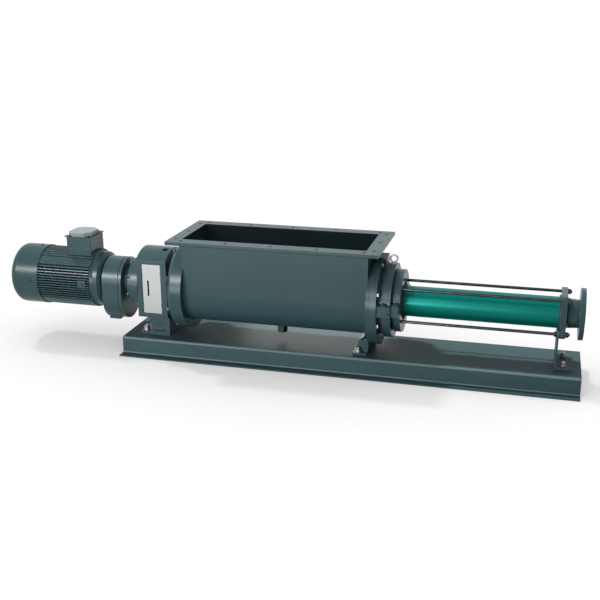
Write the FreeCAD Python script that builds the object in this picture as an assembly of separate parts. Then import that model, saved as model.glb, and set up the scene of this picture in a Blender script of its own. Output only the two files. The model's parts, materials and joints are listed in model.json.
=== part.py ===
import FreeCAD, Part
import math
import os

# Progressive cavity pump with an open feed hopper, close coupled to a geared motor on a folded base.
# Lengths are millimetres and angles degrees. X runs from the motor to the discharge flange, Z is up.
# The origin lies on the floor, midway along the whole machine and under the pump's axis.

# Heights and widths of the whole machine
axis_height = 277.0
rim_height = 507.0
base_height = 73.0

# Lengths along the pump, in order from the fan end
fan_cover_length = 132.0
finned_length = 240.0
drive_shield_length = 40.0
motor_spigot_length = 7.0
gear_case_length = 71.0
gear_cover_length = 16.0
gear_neck_length = 31.0
gear_flange_length = 15.0
lantern_flange_length = 30.0
lantern_length = 131.0
seal_neck_length = 33.0
seal_flange_length = 12.0
inlet_ring_length = 48.0
trough_length = 755.0
outlet_ring_length = 18.0
adaptor_flange_length = 24.0
adaptor_step_length = 14.0
adaptor_disc_length = 36.0
adaptor_groove_length = 6.0
tie_ring_length = 28.0
collar_show_length = 6.0
stator_tube_length = 585.0
end_collar_length = 7.0
end_plate_length = 22.0
end_neck_length = 48.0
discharge_flange_length = 20.0
base_overhang = 3.0

station_lengths = [
    fan_cover_length, finned_length, drive_shield_length, motor_spigot_length,
    gear_case_length, gear_cover_length, gear_neck_length, gear_flange_length,
    lantern_flange_length, lantern_length, seal_neck_length, seal_flange_length,
    inlet_ring_length, trough_length, outlet_ring_length, adaptor_flange_length,
    adaptor_step_length, adaptor_disc_length, adaptor_groove_length, tie_ring_length,
    collar_show_length, stator_tube_length, end_collar_length, end_plate_length,
    end_neck_length, discharge_flange_length, base_overhang,
]
overall_length = sum(station_lengths)


def stations():
    """Places along X where one length ends and the next starts."""
    place = -overall_length / 2
    found = [place]
    for length in station_lengths:
        place += length
        found.append(place)
    return found


(x_fan_end, x_frame, x_drive_shield, x_motor_spigot, x_gear_case, x_gear_cover, x_gear_neck,
 x_gear_flange, x_lantern_flange, x_lantern, x_seal_neck, x_seal_flange, x_inlet_ring, x_trough,
 x_outlet_ring, x_adaptor, x_adaptor_step, x_adaptor_disc, x_adaptor_groove, x_tie_ring,
 x_collar, x_stator_tube, x_end_collar, x_end_plate, x_end_neck, x_discharge_flange,
 x_discharge_face, x_base_end) = stations()

# Clearances and fits
running_fit = 0.05
easy_gap = 0.3
bolt_hole_gap = 0.5
thread_fit = 0.05
bite = 2.0

# Screws: widths and heights are shares of the thread size
hex_width_share = 1.5
head_height_share = 0.64
nut_height_share = 0.85
washer_width_share = 2.0
washer_height_share = 0.2

# Base
base_length = 1851.0
base_top_width = 304.0
base_foot_width = 387.0
base_sheet = 5.0
base_bend_radius = 5.0
anchor_hole = 14.0
anchor_inset = 90.0
anchor_side_inset = 17.0

# Feed hopper
trough_half_width = 143.0
trough_wall = 6.0
ring_radius = 180.0
rim_length = 857.0
rim_width = 388.6
rim_thickness = 15.3
rim_edge_round = 4.0
rim_hole = 13.0
rim_hole_edge = 26.5
rim_shift = 0.5
rim_long_pitch = 185.0
rim_long_count = 5
rim_short_pitch = 137.5
rim_short_count = 3
ring_bolt_circle = 336.0
ring_bolt_count = 8
ring_bolt = 12.0
ring_bevel = 8.0
drain_plug_x = -6.5
drain_plug_thread = 24.0
drain_plug_head = 26.0
drain_plug_chamfer = 3.0
drain_boss_radius = 23.0
drain_boss_drop = 6.0

# Support under the outlet end of the hopper
support_plate = 16.0
support_plate_half_width = 92.0
support_plate_top = 135.0
support_pad = 9.0
support_pad_length = 58.0
support_pad_inner = 56.0
support_pad_outer = 118.0
support_rib = 12.0
support_rib_side = 90.0
support_rib_foot_length = 36.0
support_rib_head_length = 20.0
support_rib_top = 129.0
support_rib_round = 6.0
support_bolt = 12.0
support_bolt_inset = 38.0
support_bolt_side = 102.0
pad_corner = 6.0
stud_end = 5.0

# Discharge
discharge_bore = 40.0
discharge_radius = 100.0
discharge_bolt_circle = 160.0
discharge_bolt_hole = 18.0
discharge_bolt_count = 8
discharge_face_step = 2.0
discharge_face_radius = 69.0
end_neck_radius = 57.0
end_plate_half_side = 83.0
end_plate_corner = 20.0
end_collar_radius = 68.0

# Stator
stator_tube_radius = 60.5
stator_tube_wall = 5.0
lining_collar_radius = 67.0
eccentricity = 11.0
rotor_diameter = 44.0
rotor_pitch = 130.0
rotor_gap = 0.5
tie_rod = 12.0
tie_rod_offset = 66.0
tie_rod_tail = 17.0

# Adaptor between the hopper and the stator
adaptor_barrel_radius = 140.0
adaptor_disc_radius = 149.0
adaptor_groove_radius = 116.0
tie_ring_radius = 125.0
tie_ring_recess_radius = 78.0
collar_seat_depth = 8.0
adaptor_bore_in = 112.0
adaptor_bore_out = 62.0
side_lug_half_height = 22.0
side_lug_reach = 171.0
side_lug_short_reach = 158.0
side_lug_slot_length = 12.0
side_lug_slot_height = 4.0
side_lug_slot_drop = 9.0
side_lug_slot_depth = 14.0
side_lug_root = 11.6
lug_bolt_edge = 11.0
top_lug_half_width = 30.0
top_lug_rise = 3.0
lug_bolt = 12.0
eye_thread = 8.0
eye_ring_radius = 14.0
eye_wire_radius = 3.6
eye_collar_radius = 10.0
eye_collar_height = 5.0
eye_shank = 15.0
eye_flat = 0.4
eye_place = 0.66

# Support leg under the discharge end
leg_width = 160.0
leg_sheet = 8.0
leg_foot_length = 58.0
leg_top_margin = 16.0
leg_bolt = 12.0
leg_bolt_side = 52.0
leg_bolt_out = 25.0
leg_bend_radius = 8.0

# Lantern between the gearbox and the pump
lantern_half_width = 100.0
lantern_arch_radius = 154.0
lantern_bottom = 150.0
lantern_wall = 10.0
lantern_flange_radius = 105.0
window_length = 85.0
window_height = 214.0
window_inset = 22.0
window_rise = 16.0
window_corner = 5.0
guard_gap = 2.5
guard_sheet = 2.0
guard_depth = 3.0
guard_ledge = 9.0
guard_slot_width = 7.0
guard_slot_height = 66.0
guard_slot_inset = 24.0
guard_slot_rise = 75.0
guard_notch_radius = 3.0
finger_notch_radius = 8.0
arch_hole_radius = 14.0
arch_hole_inset = 26.0
arch_hole_angle = 102.0

# Foot under the lantern
foot_pad_length = 131.0
foot_half_width = 95.0
foot_pad_height = 12.0
foot_rib = 17.0
foot_shelf_height = 28.0
foot_shelf_half_width = 86.0
foot_web_half_width = 62.0
foot_post_inset = 37.0
foot_end_inset = 5.0
foot_bolt = 16.0
foot_bolt_inset = 18.0
foot_bolt_side = 72.0
shelf_bolt = 12.0
shelf_bolt_side = 40.0

# Gearbox
gear_centre_distance = 67.0
gear_case_radius = 98.7
gear_case_wall = 9.0
gear_groove = 3.0
gear_cover_radius = 96.0
gear_neck_radius = 60.0
gear_neck_bore = 38.0
gear_flange_radius = 99.0
gear_bolt_circle = 190.0
gear_bolt_count = 8
gear_bolt = 10.0
gear_module = 2.0
motor_pinion_teeth = 15
first_wheel_teeth = 52
second_pinion_teeth = 17
output_wheel_teeth = 50
tooth_play = 0.45
first_wheel_width = 16.0
second_wheel_width = 24.0
stage_gap = 6.0
motor_side_gap = 12.0
output_shaft_radius = 22.5
countershaft_radius = 12.5
bearing_depth = 7.0
bearing_boss = 2.0
bearing_boss_wall = 5.0
small_bearing_width = 8.0
big_bearing_width = 15.0
gear_foot_inset = 2.0
gear_foot_length = 50.0
gear_foot_half_width = 46.0
gear_foot_drop = 1.0
oil_plug = 14.0
oil_plug_heights = (-56.0, -6.0)

# Motor
motor_radius = 125.0
motor_barrel_radius = 106.0
motor_barrel_wall = 9.0
fin_thickness = 4.0
fin_pitch = 11.0
fins_each_side = 15
corner_bar_width = 30.0
fan_cover_radius = 128.0
fan_cover_sheet = 2.0
fan_cover_corner = 30.0
fan_cover_screw = 6.0
fan_cover_screw_inset = 99.0
fan_cover_screw_angle = 0.0
grille_inner = 22.0
grille_slot = 7.0
grille_pitch = 13.0
grille_rings = 5
grille_spoke = 7.0
grille_spokes = 6
drive_shield_radius = 114.0
drive_shield_nose_radius = 100.0
drive_shield_wall = 9.0
drive_hub_length = 22.0
shield_edge_rise = 5.0
shield_edge_length = 12.0
shield_nose_length = 10.0
shield_rim_wall = 12.0
shield_hub_wall = 8.0
shield_hub_flare = 4.0
rear_hub_reach = 4.0
cover_arm_half_width = 9.0
cover_arm_overlap = 6.0
cover_arm_foot = 20.0
motor_spigot_radius = 80.0
rear_shield_length = 10.0
stator_core_length = 150.0
stator_core_bore = 60.5
air_gap = 0.5
core_inset = 45.0
winding_length = 28.0
winding_depth = 24.0
winding_gap = 4.0
winding_round = 7.0
cage_ring_length = 10.0
cage_ring_inner = 34.0
cage_ring_outer = 52.0
motor_shaft_radius = 19.0
shaft_seat_rise = 5.0
shaft_fan_drop = 5.0
shaft_fan_gap = 30.0
shaft_fan_seat = 12.0
shaft_pinion_radius = 12.0
shaft_end_gap = 3.0
rear_bearing_inset = 6.0
drive_bearing_inset = 20.0
motor_bearing_width = 16.0
motor_bearing_radius = 40.0
fan_radius = 96.0
fan_hub_radius = 26.0
fan_blades = 7
fan_blade_sheet = 3.0
fan_length = 36.0
fan_gap = 34.0
fan_disc = 4.0
pad_length = 33.0
pad_height = 33.0
pad_inset = 17.0
earth_bolt = 8.0

# Terminal box on the motor
box_length = 111.0
box_width = 124.0
box_top = axis_height + 188.0
box_sink = 13.0
box_corner = 6.0
box_cable_hole = 22.0
frame_cable_hole = 25.0
box_panel_inset = 12.0
box_panel_height = 24.0
box_panel_rise = 2.0
box_wall = 4.0
box_end_gap = 11.0
lid_overhang = 2.0
lid_length = 107.0
lid_width = 118.0
lid_shift = 3.0
lid_height = 17.0
lid_chamfer = 26.0
lid_edge = 4.0
ear_length = 12.0
ear_inset = 10.0
ear_width = 24.0
ear_sheet = 5.0
gland_thread_radius = 15.0
gland_nut_width = 38.0
gland_nut_length = 9.0
gland_dome_length = 14.0
gland_spread = 50.0
gland_hole_radius = 8.0
gland_thread_length = 5.0
gland_dome_step = 2.0
gland_dome_wall = 3.0
block_length = 68.0
block_width = 30.0
block_height = 14.0
block_middle = 29.0
block_stud = 5.0
block_stud_pitch = 20.0
block_stud_row = 16.0

# Shaft line
drive_sleeve_radius = 36.0
seal_shaft_radius = 30.0
seal_bore_radius = 48.0
seal_ring_radius = 43.0
seal_ring_length = 16.0
seal_seat_length = 12.0
seal_face_gap = 0.3
seal_hub_radius = 88.0
head_radius = 42.0
head_length = 66.0
head_start_gap = 14.0
socket_radius = 27.0
rod_end_radius = 25.5
rod_radius = 20.0
joint_pin_radius = 8.0
joint_pin_play = 0.5
joint_inset = 26.0
boot_wall = 5.0
boot_length = 36.0
boot_gap = 2.0
slinger_radius = 52.0
slinger_width = 8.0
slinger_gap = 24.0
seal_wall = 8.0
seal_play = 3.0
sleeve_gap = 3.0
sleeve_end_gap = 4.0
socket_cone = 6.0
pin_end_gap = 1.5
rod_end_half = 18.0
rod_end_flat = 6.0
rod_end_drop = 2.0
rod_neck = 22.0
coupling_pin_radius = 6.0
rotor_head_radius = 38.0
rotor_head_length = 62.0
rotor_neck_length = 16.0
rotor_shoulder = 10.0
rotor_shoulder_drop = 2.0
screw_tube_radius = 38.0
screw_radius = 114.0
screw_flight = 6.0
screw_turns = 4
screw_inset = 70.0
screw_end_gap = 95.0
screw_lead_in = 20.0
screw_bite = 1.0

X_WAY = FreeCAD.Vector(1, 0, 0)
Y_WAY = FreeCAD.Vector(0, 1, 0)
Z_WAY = FreeCAD.Vector(0, 0, 1)


def point(x, y, z):
    return FreeCAD.Vector(x, y, z)


def bar(x_start, x_end, radius, y=0.0, z=axis_height):
    """Round bar along X."""
    return Part.makeCylinder(radius, x_end - x_start, point(x_start, y, z), X_WAY)


def ring(x_start, x_end, outer, inner, y=0.0, z=axis_height):
    """Flat ring or tube along X."""
    return bar(x_start, x_end, outer, y, z).cut(bar(x_start - bite, x_end + bite, inner, y, z))


def turned(outline, y=0.0, z=axis_height):
    """Turned solid about a line along X, from corners given as place and radius."""
    corners = [point(x, y, z + radius) for x, radius in outline]
    face = Part.Face(Part.makePolygon(corners + corners[:1]))
    return face.revolve(point(0, y, z), X_WAY, 360)


def block(x_range, y_range, z_range):
    """Rectangular block between the low and high value on each axis."""
    sizes = [high - low for low, high in (x_range, y_range, z_range)]
    return Part.makeBox(*sizes, point(x_range[0], y_range[0], z_range[0]))


def both_sides(half):
    return (-half, half)


def prism(outline, x_start, x_end):
    """Solid drawn along X from a closed outline of (y, z) corners."""
    corners = [point(x_start, y, z) for y, z in outline]
    return Part.Face(Part.makePolygon(corners + corners[:1])).extrude(X_WAY * (x_end - x_start))


def plate_down(outline, z_low, z_high):
    """Solid drawn up Z from a closed outline of (x, y) corners."""
    corners = [point(x, y, z_low) for x, y in outline]
    return Part.Face(Part.makePolygon(corners + corners[:1])).extrude(Z_WAY * (z_high - z_low))


def rounded_block(x_range, y_range, z_range, radius, way):
    """Block whose four edges along one way are rounded."""
    solid = block(x_range, y_range, z_range)
    edges = [edge for edge in solid.Edges if is_along(edge, way)]
    return solid.makeFillet(radius, edges)


def is_along(edge, way):
    first, last = edge.Vertexes[0].Point, edge.Vertexes[-1].Point
    span = last - first
    return span.Length > 0 and abs(abs(span.normalize().dot(way)) - 1) < 0.001


def rolled(shape, angle, z=axis_height):
    """Copy turned about the line along X at height z."""
    copy = shape.copy()
    copy.rotate(point(0, 0, z), X_WAY, angle)
    return copy


def round_the_axis(shape, count, first_angle=0.0):
    """Copies evenly spaced about the pump's axis."""
    return [rolled(shape, first_angle + 360.0 * number / count) for number in range(count)]


def joined(shapes):
    first = shapes[0]
    return first.fuse(list(shapes[1:])).removeSplitter() if len(shapes) > 1 else first


def without(shape, cutters):
    return shape.cut(Part.makeCompound(cutters))


def set_at(shape, base, way):
    """Copy of a shape drawn up Z, moved to base and turned along way."""
    copy = shape.copy()
    copy.Placement = FreeCAD.Placement(base, FreeCAD.Rotation(Z_WAY, way))
    return copy


def hexagon(width, height):
    corner = width / math.sqrt(3)
    corners = [point(corner * math.cos(math.radians(60 * side)), corner * math.sin(math.radians(60 * side)), 0)
               for side in range(6)]
    return Part.Face(Part.makePolygon(corners + corners[:1])).extrude(Z_WAY * height)


def hex_bolt(thread, reach, base, way):
    """Bolt with its head's seat at base, the head along way and the shank against it."""
    head = hexagon(thread * hex_width_share, thread * head_height_share)
    shank = Part.makeCylinder(thread / 2, reach, point(0, 0, -reach))
    return set_at(head.fuse(shank), base, way)


def socket_screw(thread, reach, base, way):
    """Round headed screw with a hexagon socket."""
    head = Part.makeCylinder(thread * 0.8, thread * 0.6)
    socket = hexagon(thread * 0.8, thread).translated(point(0, 0, thread * 0.25))
    shank = Part.makeCylinder(thread / 2, reach, point(0, 0, -reach))
    return set_at(head.cut(socket).fuse(shank), base, way)


def nut(thread, base, way):
    """Nut seated at base with its hole along way."""
    body = hexagon(thread * hex_width_share, thread * nut_height_share)
    hole = Part.makeCylinder(thread / 2 + thread_fit, thread * 2, point(0, 0, -thread / 2))
    return set_at(body.cut(hole), base, way)


def washer(thread, base, way):
    """Flat washer seated at base."""
    body = Part.makeCylinder(thread * washer_width_share / 2, thread * washer_height_share)
    hole = Part.makeCylinder(thread / 2 + thread_fit, thread, point(0, 0, -thread / 4))
    return set_at(body.cut(hole), base, way)


def hole_at(radius, base, way, depth):
    return Part.makeCylinder(radius, depth, base, way)


def on_circle(radius, angle, x):
    """Point at an angle from Y towards Z, on a circle about the pump's axis."""
    turn = math.radians(angle)
    return point(x, radius * math.cos(turn), axis_height + radius * math.sin(turn))


def save(name, solids):
    shape = solids[0] if len(solids) == 1 else Part.makeCompound(solids)
    shape.exportStep("parts/" + name + ".step")


# Base

def foot_bolt_places():
    x = x_lantern + foot_end_inset + foot_bolt_inset
    return [point(x, side * foot_bolt_side, base_height) for side in (-1, 1)]


def leg_bolt_places():
    x = x_end_plate + leg_bolt_out
    return [point(x, side * leg_bolt_side, base_height) for side in (-1, 1)]


def base_frame():
    foot, side, sheet = base_foot_width / 2, base_top_width / 2, base_sheet
    right = [(foot, 0), (foot, sheet), (side, sheet), (side, base_height)]
    inner = [(side - sheet, base_height - sheet), (side - sheet, 0)]
    outline = right + [(-y, z) for y, z in right[::-1]]
    outline += [(-y, z) for y, z in inner[::-1]] + inner
    start = x_base_end - base_length
    frame = prism(outline, start, x_base_end)
    inside = [edge for edge in frame.Edges if is_bend(edge, side, base_height - sheet, sheet)]
    frame = frame.makeFillet(base_bend_radius, inside)
    outside = [edge for edge in frame.Edges if is_bend(edge, side, base_height, 0.0)]
    frame = frame.makeFillet(base_bend_radius + base_sheet, outside)
    holes = [hole_at(anchor_hole / 2, place, Z_WAY, 4 * sheet) for place in anchor_places(-sheet)]
    for thread, places in ((foot_bolt, foot_bolt_places()), (leg_bolt, leg_bolt_places()),
                           (support_bolt, support_bolt_places())):
        for place in places:
            holes.append(hole_at(thread / 2 + bolt_hole_gap, place - Z_WAY * 3 * sheet, Z_WAY, 6 * sheet))
    return without(frame, holes)


def is_bend(edge, side, height, inset):
    """True for a bend line of the folded sheet, on either side of the base."""
    if not is_along(edge, X_WAY):
        return False
    place = edge.Vertexes[0].Point
    if inset:
        top = abs(abs(place.y) - (side - inset)) < 0.01 and abs(place.z - height) < 0.01
        foot = abs(abs(place.y) - side) < 0.01 and abs(place.z - inset) < 0.01
        return top or foot
    top = abs(abs(place.y) - side) < 0.01 and abs(place.z - height) < 0.01
    foot = abs(abs(place.y) - (side - base_sheet)) < 0.01 and abs(place.z) < 0.01
    return top or foot


def anchor_places(z):
    start = x_base_end - base_length
    y = base_foot_width / 2 - anchor_side_inset
    return [point(x, side * y, z) for x in (start + anchor_inset, x_base_end - anchor_inset)
            for side in (-1, 1)]


# Lantern, its guards and its foot

def arch_outline(half_width, radius, bottom, x):
    """Closed outline with a flat bottom, straight sides and an arched top about the pump's axis."""
    shoulder = axis_height + math.sqrt(radius ** 2 - half_width ** 2)
    corners = [point(x, -half_width, shoulder), point(x, -half_width, bottom),
               point(x, half_width, bottom), point(x, half_width, shoulder)]
    crown = Part.Arc(corners[3], point(x, 0, axis_height + radius), corners[0]).toShape()
    lines = [Part.makeLine(first, last) for first, last in zip(corners, corners[1:])]
    return Part.Face(Part.Wire(lines + [crown]))


def window_ranges(gap):
    start = x_lantern + window_inset
    bottom = lantern_bottom + window_rise
    return ((start + gap, start + window_length - gap), (bottom + gap, bottom + window_height - gap))


def lantern():
    outside = arch_outline(lantern_half_width, lantern_arch_radius, lantern_bottom, x_lantern)
    body = outside.extrude(X_WAY * lantern_length)
    inside = arch_outline(lantern_half_width - lantern_wall, lantern_arch_radius - lantern_wall,
                          lantern_bottom + lantern_wall, x_lantern + lantern_wall)
    body = body.cut(inside.extrude(X_WAY * (lantern_length - 2 * lantern_wall)))
    body = body.fuse(bar(x_lantern_flange, x_lantern + bite, lantern_flange_radius))
    cutters = [bar(x_lantern_flange - bite, x_lantern + 2 * lantern_wall, gear_neck_bore + lantern_wall),
               bar(x_seal_neck - 2 * lantern_wall, x_seal_neck + bite, seal_bore_radius)]
    (x_low, x_high), (z_low, z_high) = window_ranges(0.0)
    depth = guard_sheet + guard_depth
    for side in (-1, 1):
        face = side * lantern_half_width
        y_range = sorted((face - side * depth, face + side * bite))
        cutters.append(rounded_block((x_low, x_high), y_range, (z_low, z_high), window_corner, Y_WAY))
        y_range = sorted((face - side * 2 * lantern_wall, face + side * bite))
        cutters.append(rounded_block((x_low + guard_ledge, x_high - guard_ledge), y_range,
                                     (z_low + guard_ledge, z_high - guard_ledge), window_corner, Y_WAY))
        notch = point(x_low, face - side * depth, axis_height)
        cutters.append(hole_at(finger_notch_radius, notch, Y_WAY * side, depth + bite))
    arch = on_circle(lantern_arch_radius - 2 * lantern_wall, arch_hole_angle, x_seal_neck - arch_hole_inset)
    cutters.append(hole_at(arch_hole_radius, arch, Z_WAY, 4 * lantern_wall))
    for place in gear_bolt_places(x_lantern_flange - bite):
        cutters.append(hole_at(gear_bolt / 2 + thread_fit, place, X_WAY, lantern_flange_length))
    for side in (-1, 1):
        cutters.append(hole_at(shelf_bolt / 2 + bolt_hole_gap, shelf_bolt_place(side), Z_WAY, 3 * lantern_wall))
    return without(body, cutters)


def shelf_bolt_place(side):
    x = x_lantern + foot_post_inset + foot_end_inset + (foot_pad_length - foot_post_inset - foot_rib) / 2
    return point(x, side * shelf_bolt_side, lantern_bottom - lantern_wall)


def guard(side):
    """Sheet guard lying on the ledge of one window."""
    (x_low, x_high), (z_low, z_high) = window_ranges(guard_gap)
    seat = side * (lantern_half_width - guard_sheet - guard_depth)
    y_range = sorted((seat, seat + side * guard_sheet))
    sheet = rounded_block((x_low, x_high), y_range, (z_low, z_high), window_corner - guard_gap, Y_WAY)
    slot_x = x_low + guard_slot_inset
    slot_z = z_low + guard_slot_rise
    through = (y_range[0] - bite, y_range[1] + bite)
    slot = rounded_block((slot_x - guard_slot_width / 2, slot_x + guard_slot_width / 2), through,
                         (slot_z, slot_z + guard_slot_height), guard_slot_width / 4, Y_WAY)
    notches = [hole_at(guard_notch_radius, point(x_high, through[0], z), Y_WAY, through[1] - through[0])
               for z in (z_low + guard_slot_rise / 2, z_high - guard_slot_rise / 2)]
    return without(sheet, [slot] + notches)


def lantern_foot():
    start = x_lantern + foot_end_inset
    end = start + foot_pad_length
    post = start + foot_post_inset
    pad_top = base_height + foot_pad_height
    shelf_bottom = lantern_bottom - foot_shelf_height
    body = joined([
        block((start, end), both_sides(foot_half_width), (base_height, pad_top)),
        block((end - foot_rib, end), both_sides(foot_half_width), (base_height, lantern_bottom)),
        block((post, end), both_sides(foot_shelf_half_width), (shelf_bottom, lantern_bottom)),
        block((post, end), both_sides(foot_web_half_width), (base_height, shelf_bottom)),
    ])
    pocket = block((post + foot_rib, end - foot_rib), both_sides(foot_web_half_width - foot_rib),
                   (base_height - bite, shelf_bottom))
    holes = [hole_at(foot_bolt / 2 + bolt_hole_gap, place - Z_WAY * bite, Z_WAY, 2 * foot_pad_height)
             for place in foot_bolt_places()]
    for side in (-1, 1):
        place = shelf_bolt_place(side) - Z_WAY * foot_shelf_height
        holes.append(hole_at(shelf_bolt / 2 + bolt_hole_gap, place, Z_WAY, 3 * foot_shelf_height))
    return without(body, [pocket] + holes)


def lantern_foot_bolts():
    pieces = [piece for place in foot_bolt_places() for piece in stud_set(foot_bolt, foot_pad_height, place)]
    for side in (-1, 1):
        seat = shelf_bolt_place(side) + Z_WAY * 2 * lantern_wall
        pieces.append(hex_bolt(shelf_bolt, lantern_wall + foot_shelf_height * 0.9, seat, Z_WAY))
    return pieces


# Gearbox

def gear_bolt_places(x):
    return [on_circle(gear_bolt_circle / 2, 22.5 + 360.0 * number / gear_bolt_count, x)
            for number in range(gear_bolt_count)]


def stadium(x_start, x_end, radius):
    """Upright oval body round the output shaft and the countershaft below it."""
    low = axis_height - gear_centre_distance
    body = bar(x_start, x_end, radius).fuse(bar(x_start, x_end, radius, 0.0, low))
    middle = block((x_start, x_end), both_sides(radius), (low, axis_height))
    return body.fuse(middle).removeSplitter()


def gearbox_housing():
    inner = gear_case_radius - gear_case_wall
    body = stadium(x_gear_case, x_gear_cover, gear_case_radius)
    low = axis_height - gear_centre_distance - gear_case_radius
    foot_start = x_gear_case + gear_foot_inset
    foot = block((foot_start, foot_start + gear_foot_length), both_sides(gear_foot_half_width),
                 (low - gear_foot_drop, low + 2 * gear_case_wall))
    body = body.fuse(foot)
    cavity = stadium(x_gear_case + gear_case_wall, x_gear_cover + bite, inner)
    cutters = [cavity, bar(x_gear_case - bite, x_gear_case + 2 * gear_case_wall, motor_shaft_radius + 3)]
    cutters += [hole_at(oil_plug / 2 + thread_fit, place + Y_WAY * bite, -Y_WAY, 2 * gear_case_wall)
                for place in oil_plug_places()]
    low_axis = axis_height - gear_centre_distance
    inside = x_gear_case + gear_case_wall
    boss = bar(inside - bite, inside + bearing_boss, countershaft_radius + bearing_depth + bearing_boss_wall,
               0.0, low_axis)
    pocket = bar(inside - small_bearing_width + 1, inside + bearing_boss + bite,
                 countershaft_radius + bearing_depth, 0.0, low_axis)
    return joined([without(body, cutters), boss]).cut(pocket)


def gearbox_cover():
    inner = gear_case_radius - gear_case_wall
    low = axis_height - gear_centre_distance
    body = joined([
        stadium(x_gear_cover + gear_groove, x_gear_neck, gear_case_radius),
        stadium(x_gear_cover, x_gear_cover + gear_groove, gear_cover_radius),
        bar(x_gear_neck - bite, x_gear_flange, gear_neck_radius),
        bar(x_gear_flange, x_lantern_flange, gear_flange_radius),
    ])
    cutters = [stadium(x_gear_cover - bite, x_gear_neck - gear_case_wall, inner - gear_case_wall),
               bar(x_gear_cover, x_lantern_flange + bite, gear_neck_bore)]
    for place in gear_bolt_places(x_gear_flange - bite):
        cutters.append(hole_at(gear_bolt / 2 + bolt_hole_gap, place, X_WAY, 2 * gear_flange_length))
    inside = x_gear_neck - gear_case_wall
    boss = bar(inside - bearing_boss, inside + bite, countershaft_radius + bearing_depth + bearing_boss_wall,
               0.0, low)
    pocket = bar(inside - bearing_boss - bite, inside + small_bearing_width - 1,
                 countershaft_radius + bearing_depth, 0.0, low)
    return joined([without(body, cutters), boss]).cut(pocket)


def gearbox_flange_bolts():
    reach = gear_flange_length + lantern_flange_length * 0.8
    return [hex_bolt(gear_bolt, reach, place, -X_WAY) for place in gear_bolt_places(x_gear_flange)]


def oil_plug_places():
    """Drain and level plugs on the flat rear side of the gearbox."""
    x = x_gear_case + gear_case_length / 2
    return [point(x, gear_case_radius, axis_height + height) for height in oil_plug_heights]


def gearbox_plugs():
    return [hex_bolt(oil_plug, gear_case_wall, place, Y_WAY) for place in oil_plug_places()]


def gear_wheel(teeth, x_start, width, z, bore, tooth_angle):
    """Spur wheel along X with straight flanked teeth, one of them centred at tooth_angle."""
    pitch_radius = gear_module * teeth / 2
    levels = [(pitch_radius - 1.25 * gear_module, 0.62), (pitch_radius + gear_module, 0.24)]
    half_pitch = math.pi * gear_module / 2
    corners = []
    for number in range(teeth):
        centre = math.radians(tooth_angle) + 2 * math.pi * number / teeth
        for side in (-1, 1):
            pair = levels if side < 0 else levels[::-1]
            for radius, share in pair:
                turn = centre + side * (half_pitch * share - tooth_play / 2) / radius
                corners.append((radius * math.cos(turn), z + radius * math.sin(turn)))
    wheel = prism(corners, x_start, x_start + width)
    return wheel.cut(bar(x_start - bite, x_start + width + bite, bore, 0.0, z)) if bore else wheel


def first_stage_start():
    return x_gear_case + motor_side_gap


def second_stage_start():
    return first_stage_start() + first_wheel_width + stage_gap


def output_wheel():
    return gear_wheel(output_wheel_teeth, second_stage_start(), second_wheel_width, axis_height,
                      output_shaft_radius, -90.0)


def motor_pinion():
    return gear_wheel(motor_pinion_teeth, first_stage_start() - 1, first_wheel_width + 2, axis_height,
                      0.0, -90.0)


def countershaft():
    """Countershaft with the second pinion cut on it."""
    low = axis_height - gear_centre_distance
    start = x_gear_case + gear_case_wall - small_bearing_width + 2
    end = x_gear_neck - gear_case_wall + small_bearing_width - 2
    pinion = gear_wheel(second_pinion_teeth, second_stage_start() - 1, second_wheel_width + 2, low,
                        0.0, 90.0 + 180.0 / second_pinion_teeth)
    return joined([bar(start, end, countershaft_radius, 0.0, low), pinion])


def first_wheel():
    low = axis_height - gear_centre_distance
    wheel = gear_wheel(first_wheel_teeth, first_stage_start(), first_wheel_width, low,
                       countershaft_radius, 90.0 + 180.0 / first_wheel_teeth)
    return wheel


def gearbox_bearings():
    """Outer and inner rings drawn as one ring for each bearing."""
    low = axis_height - gear_centre_distance
    ring_out = countershaft_radius + bearing_depth
    ring_in = countershaft_radius + running_fit
    left = x_gear_case + gear_case_wall + 1
    right = x_gear_neck - gear_case_wall - 1
    first = x_gear_neck - gear_case_wall
    last = x_lantern_flange - 4
    shaft = output_shaft_radius + running_fit
    return [
        ring(left - small_bearing_width, left, ring_out, ring_in, 0.0, low),
        ring(right, right + small_bearing_width, ring_out, ring_in, 0.0, low),
        ring(first, first + big_bearing_width, gear_neck_bore, shaft),
        ring(last - big_bearing_width, last, gear_neck_bore, shaft),
    ]


# Motor

def motor_fins():
    """Fins that stand straight out on four sides and end on one round outline."""
    reach = motor_radius
    span = (fins_each_side - 1) / 2 * fin_pitch
    limit = bar(x_frame, x_drive_shield, motor_radius)
    flats = []
    for number in range(fins_each_side):
        place = -span + number * fin_pitch
        edge = (place - fin_thickness / 2, place + fin_thickness / 2)
        level = (axis_height + edge[0], axis_height + edge[1])
        flats.append(block((x_frame, x_drive_shield), both_sides(reach), level))
        flats.append(block((x_frame, x_drive_shield), edge, (axis_height - reach, axis_height + reach)))
    bars = [block((x_frame, x_drive_shield), both_sides(corner_bar_width / 2),
                  (axis_height - reach, axis_height + reach))]
    flats += [rolled(bars[0], 45), rolled(bars[0], 135)]
    return [flat.common(limit) for flat in flats]


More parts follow.
